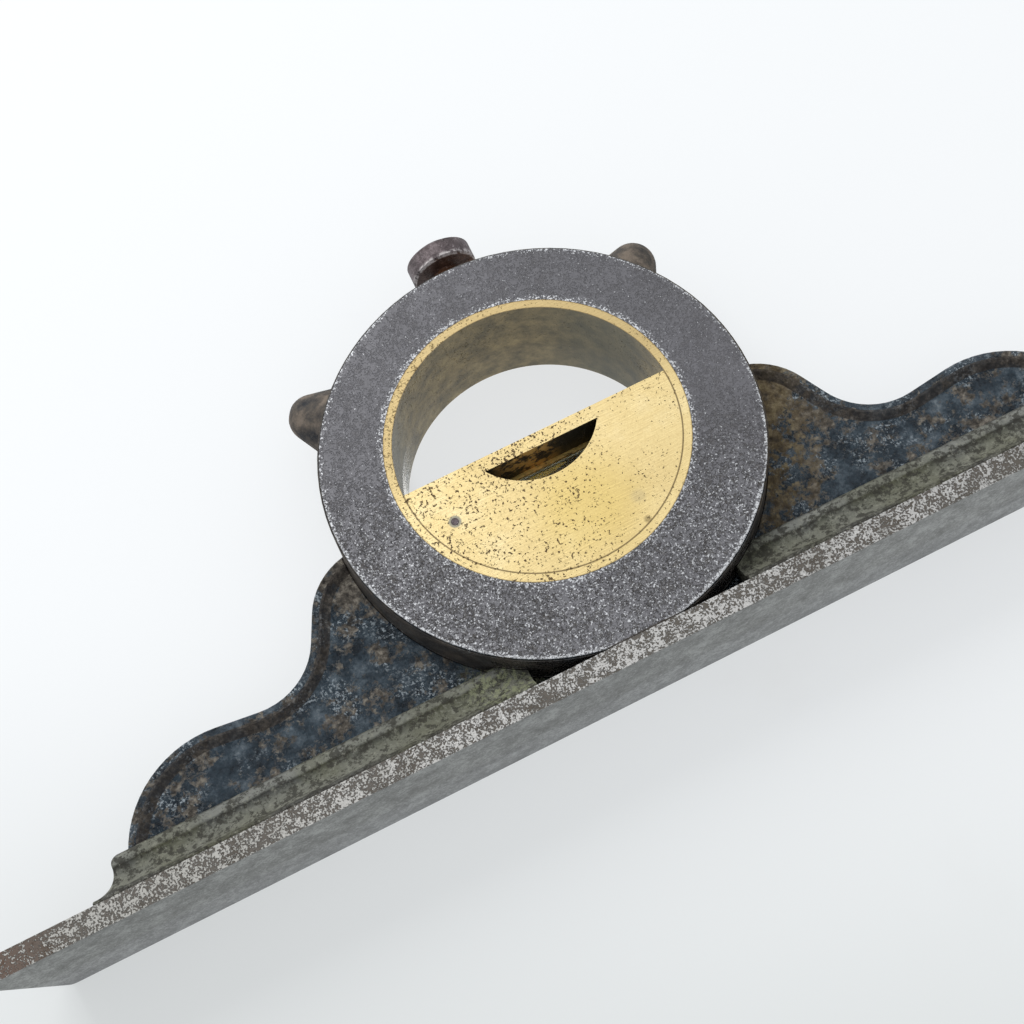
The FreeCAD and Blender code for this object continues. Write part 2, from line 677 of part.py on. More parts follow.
def vial_block():
    """Half round brass block with the windows, the sight slot and the vial's bore."""
    body = new_body("vial_block")
    radius = "(%s - seat_gap)" % INNER_RADIUS
    reach = "(sqrt((%s) ^ 2 - flat_rise ^ 2))" % radius
    sketch = new_sketch(body, "block_face", "XZ_Plane")
    outline(sketch, (("-" + reach, "flat_rise", radius, -1), ("0", "-" + radius, radius, -1),
                     (reach, "flat_rise")))
    pad(body, sketch, "ring_width")
    bore = new_sketch(body, "vial_bore", "YZ_Plane")
    circle(bore, "0", "-vial_drop", "sleeve_diameter / 2 + seat_gap")
    pocket(body, bore, "drum_diameter")
    window = new_sketch(body, "window", "XZ_Plane")
    arc = "((window_width ^ 2 / 4 + window_drop ^ 2) / (2 * window_drop))"
    outline(window, (("-window_width / 2", "-window_top", arc, -1),
                     ("window_width / 2", "-window_top")))
    pocket(body, window, "ring_width + %s" % EMBED)
    slot = new_sketch(body, "sight_slot", "XY_Plane", out="flat_rise")
    straight = "(slot_length / 2 - slot_width / 2)"
    outline(slot, (
        ("-" + straight, "-slot_width / 2"), (straight, "-slot_width / 2", "slot_end", -1),
        (straight, "slot_width / 2"), ("-" + straight, "slot_width / 2", "slot_end", -1)))
    pocket(body, slot, "flat_rise + vial_drop", symmetric=False)
    block_screw_holes(body, "block")
    pin_hole(body, "block_pin_hole", "-" + PIN_PLACE, "-pin_drop")
    place(body)


def pin_hole(body, name, across, up):
    """Hole for the plug pin, drilled from the front face past the middle."""
    sketch = new_sketch(body, name, "XZ_Plane", out="ring_width / 2")
    circle(sketch, across, up, "pin_diameter / 2 + seat_gap")
    pocket(body, sketch, "ring_width / 2 + pin_past + seat_gap", symmetric=False)


def vial_sleeve():
    """Thin brass tube round the vial, open at the top, at the front and at the back."""
    body = new_body("vial_sleeve")
    sketch = new_sketch(body, "sleeve_ring", "YZ_Plane")
    circle(sketch, "0", "0", "sleeve_diameter / 2")
    circle(sketch, "0", "0", SLEEVE_INNER)
    pad(body, sketch, "drum_diameter - 2 * sleeve_inset")
    front = new_sketch(body, "sleeve_front", "XZ_Plane")
    box_outline(front, "-sleeve_window / 2", "sleeve_window / 2",
                "-(%s) / 2" % SLEEVE_INNER, "(%s) / 2" % SLEEVE_INNER)
    pocket(body, front, "sleeve_diameter + %s" % EMBED)
    top = new_sketch(body, "sleeve_top", "XY_Plane")
    box_outline(top, "-sleeve_window / 2", "sleeve_window / 2",
                "-slot_width / 2", "slot_width / 2")
    pocket(body, top, "sleeve_diameter", symmetric=False, reverse=True)
    pin_hole(body, "sleeve_pin_hole", "-" + PIN_PLACE, "vial_drop - pin_drop")
    place(body, height=VIAL_HEIGHT)


def sleeve_plug(side, sign):
    """Brass plug in one end of the sleeve, slotted outside for a driver."""
    body = new_body("sleeve_plug_" + side)
    middle = "(drum_diameter / 2 - sleeve_inset - plug_length / 2)"
    sketch = new_sketch(body, "plug_%s_face" % side, "YZ_Plane",
                        out="%s%s" % (sign, middle))
    circle(sketch, "0", "0", "%s - seat_gap" % SLEEVE_INNER)
    pad(body, sketch, "plug_length")
    groove = new_sketch(body, "plug_%s_slot" % side, "XZ_Plane")
    box_outline(groove, *sorted_span(sign, "(drum_diameter / 2 - sleeve_inset - driver_slot)",
                                     "(drum_diameter / 2 - sleeve_inset + %s)" % EMBED),
                "-driver_slot / 2", "driver_slot / 2")
    pocket(body, groove, "sleeve_diameter")
    if sign == "-":
        pin_hole(body, "plug_pin_hole", "-" + PIN_PLACE, "vial_drop - pin_drop")
    place(body, height=VIAL_HEIGHT)


def sorted_span(sign, near, far):
    """Two places on one side of the middle, the lower first."""
    return ("-" + far, "-" + near) if sign == "-" else (near, far)


def plaster_seat(side, sign):
    """Plaster that beds one end of the vial in the sleeve."""
    body = new_body("plaster_seat_" + side)
    outer = "(drum_diameter / 2 - sleeve_inset - plug_length - seat_gap)"
    inner = "(drum_diameter / 2 - sleeve_inset - plug_length - plaster_length)"
    floor = "(%s + seat_gap)" % GLASS_HALF
    wide = "(%s - seat_gap)" % SLEEVE_INNER
    hole = "(glass_diameter / 2 + seat_gap)"
    sketch = new_sketch(body, "plaster_%s_profile" % side, "XZ_Plane")
    outline(sketch, [(sign + across, up) for across, up in (
        (outer, "0"), (outer, wide), (inner, wide), (inner, hole), (floor, hole),
        (floor, "0"))])
    turned(body, sketch, "H_Axis")
    place(body, height=VIAL_HEIGHT)


def vial_glass():
    """Glass tube with closed and bevelled ends."""
    body = new_body("vial_glass")
    outer = "glass_diameter / 2"
    inner = "(glass_diameter / 2 - glass_wall)"
    brow = "(%s - glass_bevel)" % GLASS_HALF
    sketch = new_sketch(body, "glass_profile", "XZ_Plane")
    outline(sketch, (
        ("-" + GLASS_HALF, "0"), ("-" + GLASS_HALF, outer + " - glass_bevel"),
        ("-" + brow, outer), (brow, outer), (GLASS_HALF, outer + " - glass_bevel"),
        (GLASS_HALF, "0"), (BORE_HALF, "0"), (BORE_HALF, inner), ("-" + BORE_HALF, inner),
        ("-" + BORE_HALF, "0")))
    turned(body, sketch, "H_Axis")
    place(body, height=VIAL_HEIGHT)


def vial_spirit():
    """Spirit that fills the vial, with the room that the bubble takes at the top."""
    body = new_body("vial_spirit")
    radius = "(glass_diameter / 2 - glass_wall - seat_gap)"
    sketch = new_sketch(body, "spirit_round", "YZ_Plane")
    circle(sketch, "0", "0", radius)
    pad(body, sketch, "2 * (%s - seat_gap)" % BORE_HALF)
    bubble = new_sketch(body, "bubble", "XY_Plane", out="%s - bubble_depth" % radius)
    straight = "(bubble_length / 2 - bubble_width / 2)"
    outline(bubble, (
        ("-" + straight, "-bubble_width / 2"), (straight, "-bubble_width / 2", "bubble_end", -1),
        (straight, "bubble_width / 2"), ("-" + straight, "bubble_width / 2", "bubble_end", -1)))
    pocket(body, bubble, "bubble_depth + seat_gap", symmetric=False, reverse=True)
    place(body, height=VIAL_HEIGHT)


def plug_pin():
    """Steel pin from the front face through the sleeve's left plug."""
    pin = doc.addObject("Part::Cylinder", "plug_pin")
    pin.Label = "plug_pin"
    bind(pin, "Radius", "pin_diameter / 2")
    bind(pin, "Height", "ring_width / 2 + pin_past")
    spot = FreeCAD.Vector(-value_of(PIN_PLACE), -value_of("ring_width / 2"),
                          value_of("drum_height - pin_drop"))
    turn = FreeCAD.Rotation(FreeCAD.Vector(1, 0, 0), -90)
    pin.Placement = FreeCAD.Placement(spot, turn)
    bind(pin, "Placement.Base.x", "-" + PIN_PLACE)
    bind(pin, "Placement.Base.y", "-ring_width / 2")
    bind(pin, "Placement.Base.z", "drum_height - pin_drop")


def check_document():
    """Stop if any object failed or any sub-part has a bad shape."""
    doc.recompute()
    for item in doc.Objects:
        if "Invalid" in item.State or "Error" in item.State:
            raise RuntimeError("%s failed: %s" % (item.Name, item.State))
    for item in sub_parts():
        if item.Shape.isNull() or not item.Shape.isValid():
            raise RuntimeError("%s has no good shape" % item.Label)
        if len(item.Shape.Solids) != 1:
            raise RuntimeError("%s is %d solids" % (item.Label, len(item.Shape.Solids)))


def sub_parts():
    """Every finished piece of the model."""
    return [item for item in doc.Objects
            if item.TypeId == "PartDesign::Body" or item.Label == "plug_pin"]


def write_parts():
    """Write one file for each piece, named after it."""
    os.makedirs("parts", exist_ok=True)
    for item in sub_parts():
        item.Shape.exportStep("parts/%s.step" % item.Label)
        box = item.Shape.BoundBox
        print("%-20s %9.1f mm3  x %7.2f %7.2f  y %6.2f %6.2f  z %6.2f %6.2f" % (
            item.Label, item.Shape.Volume, box.XMin, box.XMax, box.YMin, box.YMax,
            box.ZMin, box.ZMax))


fill_sheet()
frame_casting()
guide_screw("left", "-boss_angle")
guide_screw("right", "boss_angle")
lock_screw()
thrust_pad()
drum_ring()
vial_block()
block_screw("left", "-block_screw_angle")
block_screw("right", "block_screw_angle")
vial_sleeve()
sleeve_plug("left", "-")
sleeve_plug("right", "")
plaster_seat("left", "-")
plaster_seat("right", "")
vial_glass()
vial_spirit()
plug_pin()
check_document()
write_parts()
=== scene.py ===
# %% [markdown]
# # An old adjustable level
# The object is a hand tool of the metal trades: a long iron sole, two scroll webs on a
# moulded plinth, and a heavy ring in which a brass drum with a bubble vial can be turned
# and locked. The solids come from a CAD model, so this lesson gives them their finish,
# puts the instrument on a white table and adds the divided scale on its back.

# %% Load the solids
import bpy
import json
import math
from mathutils import Euler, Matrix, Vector


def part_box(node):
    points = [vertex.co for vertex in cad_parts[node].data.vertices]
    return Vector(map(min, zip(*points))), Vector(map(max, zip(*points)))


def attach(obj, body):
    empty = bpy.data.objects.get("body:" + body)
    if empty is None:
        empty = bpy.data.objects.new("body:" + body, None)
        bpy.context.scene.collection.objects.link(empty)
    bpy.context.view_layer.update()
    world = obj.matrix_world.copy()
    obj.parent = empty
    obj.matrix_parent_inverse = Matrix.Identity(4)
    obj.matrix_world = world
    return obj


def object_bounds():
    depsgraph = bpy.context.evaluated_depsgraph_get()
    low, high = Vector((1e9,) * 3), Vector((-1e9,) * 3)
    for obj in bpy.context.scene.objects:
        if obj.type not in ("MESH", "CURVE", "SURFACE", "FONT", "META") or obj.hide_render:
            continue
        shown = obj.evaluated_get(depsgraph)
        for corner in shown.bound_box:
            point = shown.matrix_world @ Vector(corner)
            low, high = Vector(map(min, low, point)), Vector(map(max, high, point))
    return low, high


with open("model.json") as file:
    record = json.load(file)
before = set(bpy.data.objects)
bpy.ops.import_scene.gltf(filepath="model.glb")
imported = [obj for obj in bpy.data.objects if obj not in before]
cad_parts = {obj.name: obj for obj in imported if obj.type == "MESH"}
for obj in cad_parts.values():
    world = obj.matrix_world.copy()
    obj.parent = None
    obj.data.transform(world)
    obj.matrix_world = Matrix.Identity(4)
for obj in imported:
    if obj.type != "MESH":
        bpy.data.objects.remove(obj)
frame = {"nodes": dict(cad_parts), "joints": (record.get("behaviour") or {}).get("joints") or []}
nodes = frame["nodes"]
cad_box = [list(map(float, corner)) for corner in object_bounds()]
print("solids:", len(nodes), "box:", cad_box)

# %% [markdown]
# ## Camera
# The photograph looks at the front from a little below and left of the middle, and the
# camera is rolled, so the sole climbs across the picture. The lens and the place were
# worked out from circles that must be round and edges that must be square. A camera can be
# aimed with a constraint, but plain numbers for place and turn keep the roll exact. The
# view transform is the standard one, so that a colour comes out as it is written.

# %% The camera
CAMERA_PLACE = (-0.03959, -0.28345, -0.07684)
CAMERA_TURN = (114.378, 26.093, 5.024)
LENS_MM = 62.59
SENSOR_MM = 36.0
NEAREST = 0.01

camera_data = bpy.data.cameras.new("view_camera")
camera_data.lens = LENS_MM
camera_data.sensor_width = SENSOR_MM
camera_data.clip_start = NEAREST
camera = bpy.data.objects.new("view_camera", camera_data)
camera.location = CAMERA_PLACE
camera.rotation_euler = Euler([math.radians(turn) for turn in CAMERA_TURN])
bpy.context.scene.collection.objects.link(camera)
bpy.context.scene.camera = camera
bpy.context.scene.view_settings.view_transform = "Standard"
print("camera at", CAMERA_PLACE)

# %% [markdown]
# ## Short ways to write shader nodes
# A procedural finish is a small calculation on the place of each point. It could be wired
# by hand in the shader editor, but dozens of nodes are hard to read there. The helpers
# below make one node each and give back its output, so that a finish reads as a formula.

# %% A colour, a node and a sum
def paint(red, green, blue):
    """An everyday 0 to 255 colour as the linear colour that a shader wants."""
    shares = [part / 255 for part in (red, green, blue)]
    return tuple(part / 12.92 if part <= 0.04045 else ((part + 0.055) / 1.055) ** 2.4
                 for part in shares) + (1.0,)


def fill(tree, made, name, value):
    """Link an input of a node, or set it."""
    if isinstance(value, bpy.types.NodeSocket):
        tree.links.new(value, made.inputs[name])
    else:
        made.inputs[name].default_value = value


def node(tree, kind, sockets=None, **settings):
    """Add a node, set its options, and link or set its inputs."""
    made = tree.nodes.new(kind)
    for name, value in settings.items():
        setattr(made, name, value)
    for name, value in (sockets or {}).items():
        fill(tree, made, name, value)
    return made


def calc(tree, operation, first, second=0.0, third=0.0):
    """One sum on numbers."""
    return node(tree, "ShaderNodeMath", {0: first, 1: second, 2: third},
                operation=operation).outputs[0]


# %% [markdown]
# ## Masks
# A mask is a number between 0 and 1 that says where on the object a finish lies. It could
# be a painted picture, but a mask that is worked out from the place of the point needs no
# picture, stays sharp close up and moves with the piece.

# %% Masks
def above(tree, value, low, high):
    """A mask that is 0 below low, 1 above high and smooth between."""
    made = node(tree, "ShaderNodeMapRange", {"Value": value, "From Min": low,
                "From Max": high}, interpolation_type="SMOOTHSTEP")
    return made.outputs["Result"]


def elsewhere(tree, mask):
    """Where a mask doesn't hold."""
    return calc(tree, "SUBTRACT", 1.0, mask)


def below(tree, value, low, high):
    """A mask that is 1 below low, 0 above high and smooth between."""
    return elsewhere(tree, above(tree, value, low, high))


def both(tree, *masks):
    """Where all the masks hold."""
    result = masks[0]
    for mask in masks[1:]:
        result = calc(tree, "MULTIPLY", result, mask)
    return result


def either(tree, *masks):
    """Where any of the masks holds."""
    result = masks[0]
    for mask in masks[1:]:
        result = calc(tree, "MAXIMUM", result, mask)
    return result


# %% [markdown]
# ## Places
# Everything is worked out in millimetres on Object coordinates, which stay with the piece
# when a joint moves it. Generated coordinates would stretch with each piece's box.

# %% Places on the object
def millimetres(tree):
    """The point's own place in millimetres, whole and as x, y and z."""
    metres = node(tree, "ShaderNodeTexCoord").outputs["Object"]
    place = node(tree, "ShaderNodeVectorMath", {0: metres, "Scale": 1000.0},
                 operation="SCALE").outputs[0]
    apart = node(tree, "ShaderNodeSeparateXYZ", {"Vector": place})
    return place, apart.outputs[0], apart.outputs[1], apart.outputs[2]


def from_centre(tree, across, up, height, along=0.0):
    """Distance in the front view from a centre."""
    one = calc(tree, "SUBTRACT", across, along)
    two = calc(tree, "SUBTRACT", up, height)
    return calc(tree, "SQRT", calc(tree, "ADD", calc(tree, "MULTIPLY", one, one),
                                   calc(tree, "MULTIPLY", two, two)))


def spot(tree, x, z, middle, whole, gone):
    """A round mask in the front view, whole inside one radius and gone past the other."""
    along, height = middle
    return below(tree, from_centre(tree, x, z, height, along), whole, gone)


# %% [markdown]
# ## Patterns and coats
# Rust, dirt and wear are irregular, so they come from noise. A ramp turns noise into
# colours, and a coat lays one more colour over what is there, as a maker would with a
# brush. One noise for everything would show, so each has its own seed.

# %% Patterns and coats
def cloud(tree, place, scale, detail=5.0, rough=0.6, seed=0.0):
    """Noise between 0 and 1. The scale is in waves per millimetre."""
    made = node(tree, "ShaderNodeTexNoise", {"Vector": place, "W": seed, "Scale": scale,
                "Detail": detail, "Roughness": rough}, noise_dimensions="4D")
    return made.outputs["Fac"]


def weighed(tree, first, share, second, other_share):
    """Two values added, each by its own share."""
    return calc(tree, "MULTIPLY_ADD", first, share,
                calc(tree, "MULTIPLY", second, other_share))


def ramp(tree, value, stops):
    """Colours along a value."""
    made = node(tree, "ShaderNodeValToRGB", {"Fac": value})
    band = made.color_ramp
    while len(band.elements) < len(stops):
        band.elements.new(0.5)
    for element, (place, colour) in zip(band.elements, stops):
        element.position = place
        element.color = colour
    return made.outputs["Color"]


def blend(tree, amount, first, second):
    """Mix two colours."""
    made = node(tree, "ShaderNodeMix", data_type="RGBA", blend_type="MIX")
    for number, value in ((0, amount), (6, first), (7, second)):
        fill(tree, made, number, value)
    return made.outputs[2]


def coat(tree, colour, mask, share, over):
    """Lay a colour over another where a mask holds, by a share of the whole."""
    return blend(tree, calc(tree, "MULTIPLY", mask, share), colour, over)


# %% [markdown]
# ## Materials
# Each finish is one material with one Principled shader. Relief could be cut into the
# mesh, but at this size a tilt of the light, which a Bump node gives, looks the same and
# costs no faces.

# %% Materials
def new_finish(name):
    """A new material with its tree and its shader."""
    material = bpy.data.materials.new(name)
    material.use_nodes = True
    tree = material.node_tree
    return material, tree, tree.nodes["Principled BSDF"]


def relief(tree, shader, height, depth):
    """Let a height pattern tilt the light on a surface. The depth is in metres."""
    bump = node(tree, "ShaderNodeBump", {"Height": height, "Strength": 1.0,
                "Distance": depth})
    tree.links.new(bump.outputs["Normal"], shader.inputs["Normal"])


def wear(names, material):
    """Give some solids this finish."""
    for name in names:
        nodes[name].data.materials.clear()
        nodes[name].data.materials.append(material)
    print(material.name, "on", ", ".join(names))


# %% [markdown]
# ## Pitted metal
# Old machined iron is bright where it was ground, and rust has eaten it into brown pits
# that run together in blotches. Both the ring's face and the edge of the sole have it, only
# denser or lighter. The nodes could be copied, but a node group is built once: it gives
# masks of pits, blotches and bright grains, and each surface mixes its own colours by them.

# %% The group for pitted metal
def make_pits():
    """Masks of pits, blotches and bright grains on ground metal."""
    tree = bpy.data.node_groups.new("pitted metal", "ShaderNodeTree")
    tree.interface.new_socket("Place", in_out="INPUT", socket_type="NodeSocketVector")
    tree.interface.new_socket("Amount", in_out="INPUT", socket_type="NodeSocketFloat")
    for name in ("Pits", "Blotches", "Grains"):
        tree.interface.new_socket(name, in_out="OUTPUT", socket_type="NodeSocketFloat")
    place, amount = tree.nodes.new("NodeGroupInput").outputs[:2]
    leave = tree.nodes.new("NodeGroupOutput")
    fine = cloud(tree, place, 2.9, detail=3.0)
    middle = cloud(tree, place, 1.05, detail=4.0, rough=0.65, seed=3.0)
    broad = cloud(tree, place, 0.16, detail=4.0, seed=7.0)
    grain = cloud(tree, place, 4.5, detail=2.0, rough=0.5, seed=11.0)
    level = calc(tree, "ADD", weighed(tree, fine, 0.55, middle, 0.45),
                 weighed(tree, broad, 0.14, amount, 0.2))
    masks = (above(tree, level, 0.61, 0.66), above(tree, broad, 0.45, 0.65),
             above(tree, grain, 0.58, 0.68))
    for number, mask in enumerate(masks):
        tree.links.new(mask, leave.inputs[number])
    return tree


PITS = make_pits()


def pits(tree, place, amount):
    """Use the group and give its three masks."""
    made = node(tree, "ShaderNodeGroup", node_tree=PITS)
    fill(tree, made, "Place", place)
    fill(tree, made, "Amount", amount)
    return made.outputs[0], made.outputs[1], made.outputs[2]


# %% [markdown]
# ## Sizes from the solids
# The masks follow the forms of the solids, so they need their sizes. These could all be
# typed in again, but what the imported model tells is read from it: the axis of the drum's
# joint, the boxes of the solids and the box of the whole. The rest are the CAD model's
# own values.

# %% Sizes in millimetres
def in_mm(metres):
    """A length of the model in millimetres, to a thousandth."""
    return round(metres * 1000, 3)


def middle_of(name):
    """The middle of a solid in the front view, as its places along and up."""
    low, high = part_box(name)
    return in_mm((low.x + high.x) / 2), in_mm((low.z + high.z) / 2)


PLATE_TOP = 4.0
PLINTH_TOP = 11.65
PANEL_FACE = 2.5
RIM_FACE = 3.4
RING_RADIUS = 38.1
RUN_GAP = 0.05
drum_joint = next(joint for joint in frame["joints"] if joint["name"] == "drum_turn")
DRUM_HEIGHT = in_mm(drum_joint["pos_m"][2])
FACE = in_mm(cad_box[1][1])
RING_HEIGHT = in_mm(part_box("frame_casting")[1].z) - RING_RADIUS
DRUM_RADIUS = in_mm(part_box("drum_ring")[1].x)
BORE_RADIUS = DRUM_RADIUS + RUN_GAP
BLOCK_RADIUS = round(DRUM_HEIGHT - in_mm(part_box("vial_block")[0].z), 3)
PIN_MIDDLE = middle_of("plug_pin")
print("ring at", RING_HEIGHT, "drum at", DRUM_HEIGHT, "bore", BORE_RADIUS, "face", FACE,
      "block", BLOCK_RADIUS, "pin", PIN_MIDDLE)

# %% [markdown]
# ## Zones of the casting
# The frame is one casting, but it shows several finishes: ground and pitted steel-grey on
# the ring's faces and the sole's edge, old navy japan on the webs, a brown crust on their
# raised rims, rust brown round the ring and on its bosses, and an olive film on the
# plinth. They could be separate materials on separate faces. One material with masks is
# easier to keep true, and the finishes can run into each other as they do on the tool.

# %% Where each finish lies on the frame
BOSS_FOOT = (56.0, 57.0)


def frame_places(tree):
    """Masks for the frame's zones, from the point's own place."""
    place, x, y, z = millimetres(tree)
    depth = calc(tree, "ABSOLUTE", y)
    ring_r = from_centre(tree, x, z, RING_HEIGHT)
    normal = node(tree, "ShaderNodeNewGeometry").outputs["True Normal"]
    lean = node(tree, "ShaderNodeSeparateXYZ", {"Vector": normal}).outputs[1]
    flat = above(tree, calc(tree, "ABSOLUTE", lean), 0.93, 0.97)
    face = above(tree, depth, FACE - 0.15, FACE - 0.05)
    plate = below(tree, z, PLATE_TOP + 0.02, PLATE_TOP + 0.08)
    raised = elsewhere(tree, plate)
    ring = below(tree, ring_r, RING_RADIUS + 0.02, RING_RADIUS + 0.12)
    beyond = elsewhere(tree, ring)
    high = above(tree, z, PLINTH_TOP, PLINTH_TOP + 0.1)
    off_round = calc(tree, "ABSOLUTE", calc(tree, "SUBTRACT", ring_r, RING_RADIUS))
    return {
        "place": place, "x": x, "y": y, "z": z, "ring_r": ring_r,
        "bore_r": from_centre(tree, x, z, DRUM_HEIGHT),
        "plate": plate, "beyond": beyond, "high": high,
        "under": below(tree, z, 0.03, 0.08),
        "strip": both(tree, face, plate),
        "ring_face": both(tree, face, ring, raised),
        "panel": both(tree, beyond, flat,
                      below(tree, depth, PANEL_FACE + 0.1, PANEL_FACE + 0.2)),
        "plinth": both(tree, beyond, raised, elsewhere(tree, high),
                       above(tree, depth, RIM_FACE + 0.1, RIM_FACE + 0.4)),
        "barrel": below(tree, off_round, 0.1, 0.3),
        "boss": both(tree, beyond, above(tree, z, *BOSS_FOOT)),
    }


# %% [markdown]
# ## Japan, crust and film
# Japan is a baked black-blue varnish. Here it is faded, its pale blue-grey patches partly
# faded japan and partly painted sheen, with specks of painted glint on it. Where it wore
# through, the iron is brown, sandy with rust at the right of the ring and browner on the
# shoulders. The rims carry a dark crust. Each layer could be its own shader, but they are
# equally dull, so only their colours are mixed.

# %% Japan on the webs
SANDY_REACH = (39.0, 52.0)
SANDY_SIDE = (20.0, 34.0)
SHOULDER_REACH = (38.0, 50.0)
SHOULDER_HEIGHT = (26.0, 38.0)


def japan_colour(tree, at):
    """Navy japan, partly painted sheen, with painted glints and brown where it has worn through.
    """
    place = at["place"]
    tone = cloud(tree, place, 0.3, detail=7.0, rough=0.72, seed=1.0)
    # The pale tones of this ramp are partly faded japan and partly painted sheen.
    navy = ramp(tree, tone, ((0.38, paint(24, 32, 39)), (0.52, paint(54, 66, 75)),
                             (0.62, paint(88, 99, 107)), (0.74, paint(136, 145, 150))))
    worn = weighed(tree, cloud(tree, place, 0.3, detail=7.0, rough=0.7, seed=5.0), 0.8,
                   cloud(tree, place, 1.4, detail=4.0, seed=6.0), 0.2)
    sandy = both(tree, below(tree, at["ring_r"], *SANDY_REACH),
                 above(tree, at["x"], *SANDY_SIDE))
    shoulder = both(tree, below(tree, at["ring_r"], *SHOULDER_REACH),
                    above(tree, at["z"], *SHOULDER_HEIGHT))
    worn = calc(tree, "MULTIPLY_ADD", sandy, 0.075, worn)
    worn = calc(tree, "MULTIPLY_ADD", shoulder, 0.12, worn)
    rust = above(tree, worn, 0.505, 0.57)
    brown = ramp(tree, cloud(tree, place, 0.9, rough=0.7, seed=9.0),
                 ((0.36, paint(48, 45, 42)), (0.5, paint(92, 86, 78)),
                  (0.64, paint(146, 139, 127))))
    sand = ramp(tree, cloud(tree, place, 0.7, detail=6.0, rough=0.7, seed=10.0),
                ((0.36, paint(58, 49, 38)), (0.5, paint(112, 96, 68)),
                 (0.64, paint(160, 144, 108))))
    brown = coat(tree, brown, sandy, 0.8, sand)
    # Small pale specks laid over the japan are painted glints.
    painted_glints = both(tree, above(tree, cloud(tree, place, 2.2, detail=4.0, rough=0.7, seed=51.0),
                             0.52, 0.6),
                 above(tree, cloud(tree, place, 0.17, detail=3.0, rough=0.5, seed=52.0),
                       0.47, 0.6))
    navy = coat(tree, navy, painted_glints, 0.8, paint(176, 186, 192))
    return blend(tree, rust, navy, brown), rust


# %% Crust on the rims, and rust brown round the ring
def crust_colour(tree, at):
    """Brown crust on the rims and on top of the sole."""
    return ramp(tree, cloud(tree, at["place"], 0.8, detail=7.0, rough=0.75, seed=2.0),
                ((0.36, paint(34, 31, 30)), (0.5, paint(64, 58, 53)),
                 (0.6, paint(98, 91, 83)), (0.72, paint(142, 136, 127))))


def barrel_colour(tree, at):
    """Soft dark brown round the ring's outside."""
    return ramp(tree, cloud(tree, at["place"], 0.25, seed=61.0),
                ((0.35, paint(40, 37, 35)), (0.6, paint(72, 66, 60)),
                 (0.75, paint(96, 88, 78))))


def boss_colour(tree, at):
    """The bosses, dark with paler brown where hands rub them."""
    return ramp(tree, cloud(tree, at["place"], 0.3, detail=6.0, rough=0.65, seed=63.0),
                ((0.36, paint(32, 36, 42)), (0.5, paint(80, 74, 68)),
                 (0.62, paint(120, 108, 96))))


# %% Film, dirt, painted shade and painted light on the plinth
VERDIGRIS_MIDDLE = (-23.0, 8.5)


def plinth_colour(tree, at):
    """Bands along the plinth's bead, hollow and lip, painted shade in its creases and painted
    light on its rounded parts, under an olive film and dirt.
    """
    place = at["place"]
    stain = cloud(tree, place, 0.35, detail=6.0, rough=0.7, seed=4.0)
    height = calc(tree, "SUBTRACT", at["z"], PLATE_TOP)
    wobble = calc(tree, "MULTIPLY_ADD", stain, 0.6, calc(tree, "SUBTRACT", height, 0.3))
    share = calc(tree, "DIVIDE", wobble, PLINTH_TOP - PLATE_TOP)
    # The bands up the profile paint shade and light: dark lines in the creases are painted
    # shade, and the lighter bands on the rounded parts are painted light.
    colour = ramp(tree, share, (
        (0.0, paint(54, 52, 49)), (0.07, paint(100, 99, 94)), (0.12, paint(60, 59, 55)),
        (0.2, paint(128, 128, 117)), (0.5, paint(122, 123, 113)), (0.64, paint(86, 87, 82)),
        (0.7, paint(56, 56, 53)), (0.76, paint(138, 139, 132)),
        (0.92, paint(132, 133, 127)), (1.0, paint(40, 41, 40))))
    olive = above(tree, cloud(tree, place, 0.06, detail=4.0, seed=14.0), 0.42, 0.62)
    colour = coat(tree, colour, olive, 0.4, paint(96, 96, 64))
    pale = above(tree, cloud(tree, place, 1.1, detail=6.0, rough=0.75, seed=16.0),
                 0.5, 0.66)
    colour = coat(tree, colour, pale, 0.75, paint(150, 150, 136))
    dirt = above(tree, cloud(tree, place, 0.8, detail=6.0, rough=0.75, seed=8.0),
                 0.48, 0.56)
    return coat(tree, colour, dirt, 0.8, paint(54, 52, 46))


def verdigris(tree, at):
    """A patch of pale green salt beside the ring, where damp stood."""
    film = cloud(tree, at["place"], 1.2, detail=7.0, rough=0.78, seed=31.0)
    return both(tree, spot(tree, at["x"], at["z"], VERDIGRIS_MIDDLE, 3.0, 10.0),
                at["beyond"], above(tree, film, 0.49, 0.55))


# %% [markdown]
# ## Ground surfaces
# The sole, its edge and the ring's faces were ground flat. The edge is brightest and
# turns rusty at the left end, the ring is darker, with worn edges and painted glints along
# them and low down, and the underside is plain grey with painted shade towards the back.
# Each could have one even pattern, but the wear of a real tool follows how it is held and
# put down.

# %% The edge of the sole
RUSTY_END = (-114.0, -98.0)
GREY_STRETCH = (-90.0, -20.0)


def strip_colour(tree, at):
    """Bright edge of the sole with brown pits, rusty towards the left end."""
    rusty = below(tree, at["x"], *RUSTY_END)
    holes, blotches, grains = pits(tree, at["place"],
                                   calc(tree, "MULTIPLY_ADD", rusty, 0.25, 0.3))
    metal = blend(tree, blotches, paint(182, 180, 176), paint(158, 156, 151))
    metal = blend(tree, grains, metal, paint(214, 212, 208))
    metal = coat(tree, metal, below(tree, at["x"], *GREY_STRETCH), 0.6,
                 paint(146, 144, 136))
    brown = blend(tree, rusty, paint(84, 78, 70), paint(88, 70, 58))
    return blend(tree, holes, metal, brown), holes


# %% The faces of the ring
EDGE_INSET = (0.1, 1.7)
LOW_SLOPE = 0.3
LOW_PART = (22.0, 48.0)


